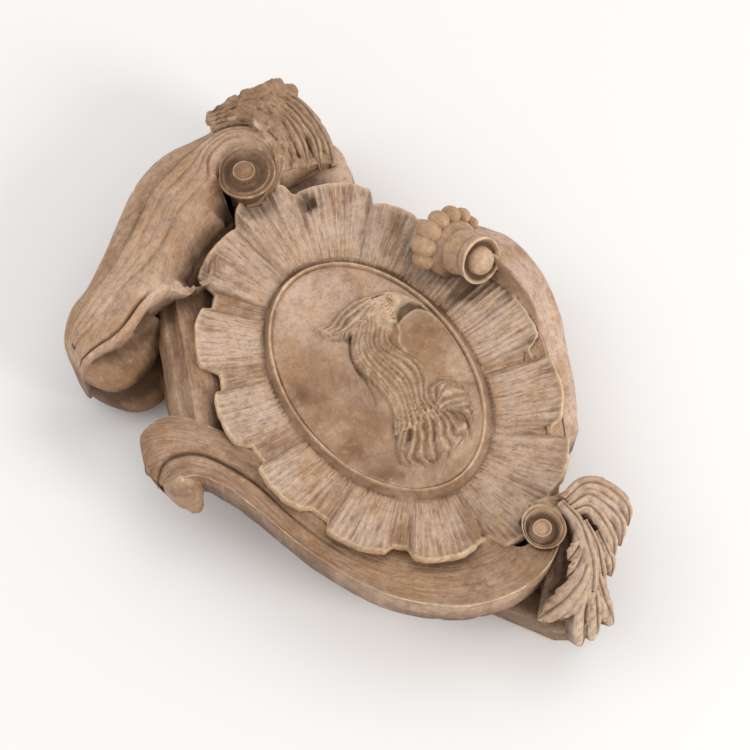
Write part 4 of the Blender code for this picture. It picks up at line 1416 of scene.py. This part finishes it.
def remap(tree, value, low, high, to_low=0.0, to_high=1.0):
    """A value taken smoothly from one range to another."""
    made = node(tree, "ShaderNodeMapRange", interpolation_type="SMOOTHSTEP")
    link(tree, value, made.inputs["Value"])
    made.inputs["From Min"].default_value = low
    made.inputs["From Max"].default_value = high
    made.inputs["To Min"].default_value = to_low
    made.inputs["To Max"].default_value = to_high
    return made.outputs["Result"]


def maths(tree, kind, first, second=None):
    """A sum, product or comparison of sockets and plain values."""
    made = node(tree, "ShaderNodeMath", operation=kind)
    for slot, value in ((0, first), (1, second)):
        if isinstance(value, bpy.types.NodeSocket):
            link(tree, value, made.inputs[slot])
        elif value is not None:
            made.inputs[slot].default_value = value
    return made.outputs[0]


def cloud(tree, where, scale, detail=4.0, rough=0.55, warp=0.0):
    """Cloudy noise through the stone."""
    made = node(tree, "ShaderNodeTexNoise", noise_dimensions="3D")
    link(tree, where, made.inputs["Vector"])
    made.inputs["Scale"].default_value = scale
    made.inputs["Detail"].default_value = detail
    made.inputs["Roughness"].default_value = rough
    made.inputs["Distortion"].default_value = warp
    return made.outputs["Fac"]


def mark(tree, name):
    """The finishing mark of that name on the mesh."""
    return node(tree, "ShaderNodeAttribute", attribute_type="GEOMETRY", attribute_name=name)


def stone_material(colours):
    """Clouded brown stone with wisps, streaks along the cuts, pinkish bloom, brown grime with painted shade
    in the hollows and under overhangs, and cream arrises.
    """
    material = bpy.data.materials.new("Carved stone")
    material.use_nodes = True
    tree = material.node_tree
    shader = tree.nodes["Principled BSDF"]
    where = node(tree, "ShaderNodeTexCoord").outputs["Object"]
    run = mark(tree, "run").outputs["Vector"]
    stretch = node(tree, "ShaderNodeMapping")
    link(tree, run, stretch.inputs["Vector"])
    stretch.inputs["Scale"].default_value = (0.75, 0.075, 1)
    combed = mark(tree, "comb").outputs["Fac"]
    streak = cloud(tree, stretch.outputs["Vector"], 1.0, 5, 0.68)

    broad = cloud(tree, where, 15, 4, 0.55, 0.6)
    middle = cloud(tree, where, 40, 5, 0.6, 0.4)
    fine = cloud(tree, where, 260, 6, 0.72)
    speck = cloud(tree, where, 1000, 2, 0.5)
    body = mix_colour(tree, remap(tree, broad, 0.36, 0.64), colours.pale[:], colours.tan[:])
    body = mix_colour(tree, remap(tree, middle, 0.44, 0.7, 0, 0.75), body, colours.orange[:])
    smoky = cloud(tree, where, 24, 6, 0.68, 1.4)
    body = mix_colour(tree, remap(tree, smoky, 0.5, 0.68, 0, 0.55), body, colours.vein[:])
    patina = mark(tree, "patina").outputs["Fac"]
    thin = remap(tree, cloud(tree, where, 55, 6, 0.68, 0.4), 0.34, 0.6)
    patina = maths(tree, "MULTIPLY", patina, thin)
    body = mix_colour(tree, maths(tree, "MULTIPLY", patina, 0.8), body, colours.patina[:])
    stain = mark(tree, "stain").outputs["Fac"]
    patchy = remap(tree, smoky, 0.3, 0.62, 0.7, 1.15)
    body = mix_colour(tree, maths(tree, "MULTIPLY", stain, patchy), body, colours.stain[:])
    wisp = cloud(tree, where, 30, 7, 0.62, 2.2)
    wisp = maths(tree, "ABSOLUTE", maths(tree, "SUBTRACT", wisp, 0.5))
    body = mix_colour(tree, remap(tree, wisp, 0.0, 0.028, 0.22, 0), body, colours.vein[:])
    dark_lines = maths(tree, "MULTIPLY", remap(tree, streak, 0.5, 0.66, 0, 0.72), combed)
    body = mix_colour(tree, dark_lines, body, colours.vein[:])
    pale_lines = maths(tree, "MULTIPLY", remap(tree, streak, 0.5, 0.36, 0, 0.62), combed)
    body = mix_colour(tree, pale_lines, body, colours.pale[:])
    body = mix_colour(tree, remap(tree, fine, 0.46, 0.68, 0, 0.36), body, colours.vein[:])
    body = mix_colour(tree, remap(tree, fine, 0.46, 0.3, 0, 0.22), body, colours.worn[:])
    # Painted shade and grime: this mark darkens hollows, cuts and stone lying below the carving around it
    # towards the brown colour.
    dirt_and_shade = mark(tree, "dirt_and_shade").outputs["Fac"]
    dirt_and_shade = maths(tree, "MULTIPLY", dirt_and_shade, remap(tree, middle, 0.3, 0.7, 0.75, 1.25))
    body = mix_colour(tree, remap(tree, dirt_and_shade, 0.03, 0.95, 0, 0.92), body, colours.dirt_and_shade[:])
    # Wear lightens rubbed arrises; on the ruffle's lip it is also a painted highlight.
    wear = mark(tree, "wear").outputs["Fac"]
    wear = maths(tree, "MULTIPLY", wear, remap(tree, fine, 0.34, 0.6, 1.0, 0.45))
    body = mix_colour(tree, maths(tree, "MULTIPLY", wear, 0.85), body, colours.worn[:])
    body = mix_colour(tree, remap(tree, speck, 0.62, 0.74, 0, 0.45), body, colours.dirt_and_shade[:])
    link(tree, body, shader.inputs["Base Color"])
    link(tree, remap(tree, fine, 0.3, 0.7, 0.5, 0.7), shader.inputs["Roughness"])
    shader.inputs["Specular IOR Level"].default_value = 0.35
    height = maths(tree, "MULTIPLY", maths(tree, "MULTIPLY", streak, combed), 1.4)
    height = maths(tree, "ADD", height, maths(tree, "MULTIPLY", fine, 1.1))
    height = maths(tree, "ADD", height, maths(tree, "MULTIPLY", speck, 0.2))
    bump = node(tree, "ShaderNodeBump")
    link(tree, height, bump.inputs["Height"])
    bump.inputs["Strength"].default_value = 0.85
    bump.inputs["Distance"].default_value = 0.0008
    link(tree, bump.outputs["Normal"], shader.inputs["Normal"])
    return material


class CartoucheSizes(bpy.types.PropertyGroup):
    """Sizes of the carving"""
    medallion_width: bpy.props.FloatProperty(
        name="Medallion width", description="Width of the oval inside the ruffle",
        default=0.103, min=0.06, unit="LENGTH",
    )
    medallion_height: bpy.props.FloatProperty(
        name="Medallion height", description="Height of the oval inside the ruffle",
        default=0.152, min=0.08, unit="LENGTH",
    )
    medallion_rise: bpy.props.FloatProperty(
        name="Medallion rise", description="How far the medallion stands out from the wall",
        default=0.052, unit="LENGTH",
    )
    ruffle_lift: bpy.props.FloatProperty(
        name="Ruffle lift", description="How far the lobes rise towards their edges",
        default=0.008, unit="LENGTH",
    )
    ruffle_edge: bpy.props.FloatProperty(
        name="Ruffle edge", description="Thickness of the ruffle at its free edge",
        default=0.006, unit="LENGTH",
    )
    head_relief: bpy.props.FloatProperty(
        name="Head relief", description="Height of the bird's head, as a share of the carved one",
        default=1.0, min=0,
    )
    bead_radius: bpy.props.FloatProperty(
        name="Bead radius", description="Radius of each bead on the roll",
        default=0.005, min=0.002, unit="LENGTH",
    )
    beads: bpy.props.IntProperty(name="Beads", description="Beads on the roll", default=7, min=1, max=9)
    wear: bpy.props.FloatProperty(
        name="Wear", description="How much the surface is rubbed down and pitted", default=1.0, min=0
    )


def stone_colour(name, description, default):
    """A colour that the user can change."""
    return bpy.props.FloatVectorProperty(
        name=name, description=description, default=default, size=4, subtype="COLOR",
    )


class StoneColours(bpy.types.PropertyGroup):
    """Colours of the stone and the backdrop"""
    pale: stone_colour("Pale stone", "Lightest clouds of the stone", (0.70, 0.485, 0.335, 1))
    tan: stone_colour("Tan stone", "Main colour of the stone", (0.50, 0.30, 0.17, 1))
    orange: stone_colour("Warm stone", "Orange-brown clouds", (0.45, 0.24, 0.11, 1))
    vein: stone_colour("Veins", "Darker veins", (0.21, 0.12, 0.075, 1))
    patina: stone_colour("Patina", "Pinkish grey bloom on the lobes", (0.72, 0.555, 0.465, 1))
    stain: stone_colour("Stain", "Red-brown stain on the coil and the leaf", (0.17, 0.08, 0.036, 1))
    worn: stone_colour("Worn edges", "Cream of rubbed arrises", (0.90, 0.69, 0.46, 1))
    # The brown of grime and of the painted shade in hollows and under overhangs; the specks use it too.
    dirt_and_shade: stone_colour("Dirt", "Brown dirt in the hollows", (0.085, 0.043, 0.022, 1))
    stage: stone_colour("Backdrop", "Plain pale backdrop", (0.93, 0.925, 0.925, 1))


class CARTOUCHE_OT_slab(bpy.types.Operator):
    """Cut the back slab and the shoulder on it"""
    bl_idname = "cartouche.slab"
    bl_label = "Slab"

    def execute(self, context):
        carve_slab()
        return {"FINISHED"}


class CARTOUCHE_OT_ruffle(bpy.types.Operator):
    """Carve the ruffle round the medallion"""
    bl_idname = "cartouche.ruffle"
    bl_label = "Ruffle"

    def execute(self, context):
        carve_ruffle(context.scene.cartouche_sizes)
        return {"FINISHED"}


class CARTOUCHE_OT_medallion(bpy.types.Operator):
    """Carve the medallion and the bird's head on it"""
    bl_idname = "cartouche.medallion"
    bl_label = "Medallion"

    def execute(self, context):
        carve_medallion(context.scene.cartouche_sizes)
        return {"FINISHED"}


class CARTOUCHE_OT_left_scroll(bpy.types.Operator):
    """Carve the broad left scroll with its coil and foot"""
    bl_idname = "cartouche.left_scroll"
    bl_label = "Left scroll"

    def execute(self, context):
        carve_left_scroll(context.scene.cartouche_sizes)
        carve_left_bed()
        carve_foot()
        volute("left eye", LEFT_EYE, LEFT_EYE_RADIUS, LEFT_ARRIS, 2.6, 50, 0.72)
        return {"FINISHED"}


class CARTOUCHE_OT_lower_scroll(bpy.types.Operator):
    """Carve the long channelled scroll underneath"""
    bl_idname = "cartouche.lower_scroll"
    bl_label = "Lower scroll"

    def execute(self, context):
        carve_lower_scroll()
        carve_scroll_knob()
        volute("lower eye", LOWER_EYE, LOWER_EYE_RADIUS, LOWER_ARRIS_ROUND, 2.2, 40, 0.3)
        return {"FINISHED"}


class CARTOUCHE_OT_side_scroll(bpy.types.Operator):
    """Carve the right band, its roll and the beads"""
    bl_idname = "cartouche.side_scroll"
    bl_label = "Side scroll"

    def execute(self, context):
        carve_band()
        carve_roll()
        carve_beads(context.scene.cartouche_sizes)
        return {"FINISHED"}


class CARTOUCHE_OT_leaves(bpy.types.Operator):
    """Carve the leaves over the two volutes"""
    bl_idname = "cartouche.leaves"
    bl_label = "Leaves"

    def execute(self, context):
        carve_leaves()
        return {"FINISHED"}


class CARTOUCHE_OT_finish_stone(bpy.types.Operator):
    """Join the blocks into one carving, weather it and give it its stone"""
    bl_idname = "cartouche.finish_stone"
    bl_label = "Join and finish"

    def execute(self, context):
        mesh, pieces = join_blocks()
        if len(mesh.vertices) < FEWEST_POINTS:
            raise RuntimeError("The blocks did not join.")
        surface = Surface(mesh)
        values = marks_from(pieces, surface.points)
        small = surface.hollow(4)
        wide = surface.hollow(24)
        fresh, pit = chipped(surface)
        weather(surface, context.scene.cartouche_sizes.wear)
        # Painted shade from the height of the carving around each point.
        deep = height_shadow(surface)
        patina, comb, stain, soil, rub = surface.smooth(values[:, :len(MARKS)], 1).T
        # Darkening of hollows and cuts as grime and painted shade, plus the painted shade below the carving
        # and the broken pit.
        dirt_and_shade = ease(0.1, 0.9, small) * 0.5 + ease(0.25, 2.4, wide) * 0.4 + deep * 0.56 + soil + 0.9 * pit
        wear = ease(0.12, 0.9, -small) * 0.6 + ease(0.6, 3.0, -wide) * 0.25 + rub + fresh
        for name, shares in (
            ("dirt_and_shade", dirt_and_shade), ("wear", wear), ("patina", patina), ("comb", comb), ("stain", stain),
        ):
            write_mark(mesh, name, np.clip(shares, 0, 1))
        write_mark(mesh, "run", values[:, len(MARKS):])
        for piece in pieces:
            bpy.data.objects.remove(piece, do_unlink=True)
        mesh.materials.clear()
        mesh.materials.append(stone_material(context.scene.cartouche_colours))
        mesh.shade_smooth()
        mesh.set_sharp_from_angle(angle=math.radians(50))
        carving = bpy.data.objects.new("carved_cartouche", mesh)
        context.scene.collection.objects.link(carving)
        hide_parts("cartouche")
        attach(carving, "root")
        return {"FINISHED"}


class CARTOUCHE_OT_stage(bpy.types.Operator):
    """Lay the pale backdrop behind the carving, and place the light and the camera"""
    bl_idname = "cartouche.stage"
    bl_label = "Stage"

    def execute(self, context):
        scene = context.scene
        tilt = math.radians(VIEW_TILT)
        turn = math.radians(VIEW_TURN)
        right = Vector((math.cos(turn), 0, -math.sin(turn)))
        rise = Vector((math.sin(turn), 0, math.cos(turn)))
        out = Vector((0, -1, 0))
        up = rise * math.cos(tilt) + out * math.sin(tilt)
        ahead = rise * math.sin(tilt) - out * math.cos(tilt)
        target = out * VIEW_CENTRE[2] + right * VIEW_CENTRE[0] + up * VIEW_CENTRE[1]
        lens = bpy.data.cameras.new("Camera")
        lens.lens_unit = "FOV"
        lens.angle = math.radians(LENS_ANGLE)
        lens.clip_end = 20
        camera = bpy.data.objects.new("Camera", lens)
        facing = Matrix((right, up, -ahead)).transposed().to_4x4()
        camera.matrix_world = Matrix.Translation(target - ahead * VIEW_DISTANCE) @ facing
        scene.collection.objects.link(camera)
        scene.camera = camera

        plane = bpy.data.meshes.new("Backdrop")
        signs = ((-1, -1), (1, -1), (1, 1), (-1, 1))
        corners = [(x * BACKDROP_HALF, BACKDROP_GAP, z * BACKDROP_HALF) for x, z in signs]
        plane.from_pydata(corners, [], [(0, 1, 2, 3)])
        backdrop = bpy.data.objects.new("Backdrop", plane)
        scene.collection.objects.link(backdrop)
        material = bpy.data.materials.new("Backdrop")
        material.use_nodes = True
        tree = material.node_tree
        shader = tree.nodes["Principled BSDF"]
        shader.inputs["Base Color"].default_value = scene.cartouche_colours.stage[:]
        shader.inputs["Roughness"].default_value = 0.9
        shader.inputs["Specular IOR Level"].default_value = 0.1
        clear = node(tree, "ShaderNodeBsdfTransparent")
        side = node(tree, "ShaderNodeNewGeometry")
        choose = node(tree, "ShaderNodeMixShader")
        # The stone's flat back lies on the backdrop, so rays that have only just left it pass through.
        path = node(tree, "ShaderNodeLightPath")
        just_left = maths(tree, "LESS_THAN", path.outputs["Ray Length"], NEAR_RAY)
        link(tree, maths(tree, "MAXIMUM", side.outputs["Backfacing"], just_left), choose.inputs[0])
        link(tree, shader.outputs[0], choose.inputs[1])
        link(tree, clear.outputs[0], choose.inputs[2])
        link(tree, choose.outputs[0], tree.nodes["Material Output"].inputs["Surface"])
        plane.materials.append(material)

        world = bpy.data.worlds.new("Studio")
        world.use_nodes = True
        room = world.node_tree.nodes["Background"]
        room.inputs["Color"].default_value = ROOM_COLOUR
        room.inputs["Strength"].default_value = ROOM_LIGHT
        scene.world = world
        for name, shares, wide, power in LAMPS:
            place = right * shares[0] + up * shares[1] + out * shares[2]
            lamp = bpy.data.lights.new(name, "AREA")
            lamp.shape = "DISK"
            lamp.size = wide
            lamp.energy = power
            lamp.color = LAMP_COLOUR
            stand = bpy.data.objects.new(name, lamp)
            stand.location = place
            stand.rotation_euler = (place - out * LAMP_AIM).to_track_quat("Z", "Y").to_euler()
            scene.collection.objects.link(stand)
        scene.view_settings.view_transform = "Standard"
        return {"FINISHED"}


class CARTOUCHE_PT_panel(bpy.types.Panel):
    """Sidebar panel with the steps of the carving in order"""
    bl_idname = "CARTOUCHE_PT_panel"
    bl_label = "Rococo Wall Cartouche"
    bl_space_type = "VIEW_3D"
    bl_region_type = "UI"
    bl_category = "Cartouche"

    def draw(self, context):
        layout = self.layout
        for name in CartoucheSizes.__annotations__:
            layout.prop(context.scene.cartouche_sizes, name)
        for name in StoneColours.__annotations__:
            layout.prop(context.scene.cartouche_colours, name)
        for step in STEPS:
            layout.operator(step.bl_idname)


STEPS = (
    CARTOUCHE_OT_stage, CARTOUCHE_OT_slab, CARTOUCHE_OT_ruffle, CARTOUCHE_OT_medallion,
    CARTOUCHE_OT_left_scroll, CARTOUCHE_OT_lower_scroll, CARTOUCHE_OT_side_scroll, CARTOUCHE_OT_leaves,
    CARTOUCHE_OT_finish_stone,
)
CLASSES = (CartoucheSizes, StoneColours) + STEPS + (CARTOUCHE_PT_panel,)


def register():
    """Add the classes and the settings to Blender."""
    for kind in CLASSES:
        bpy.utils.register_class(kind)
    bpy.types.Scene.cartouche_sizes = bpy.props.PointerProperty(type=CartoucheSizes)
    bpy.types.Scene.cartouche_colours = bpy.props.PointerProperty(type=StoneColours)


def unregister():
    """Take the settings and the classes out again."""
    del bpy.types.Scene.cartouche_colours
    del bpy.types.Scene.cartouche_sizes
    for kind in reversed(CLASSES):
        bpy.utils.unregister_class(kind)


def main():
    """Carve and finish the cartouche step by step."""
    register()
    bpy.ops.cartouche.stage()
    bpy.ops.cartouche.slab()
    bpy.ops.cartouche.ruffle()
    bpy.ops.cartouche.medallion()
    bpy.ops.cartouche.left_scroll()
    bpy.ops.cartouche.lower_scroll()
    bpy.ops.cartouche.side_scroll()
    bpy.ops.cartouche.leaves()
    bpy.ops.cartouche.finish_stone()


if __name__ == "__main__":
    main()
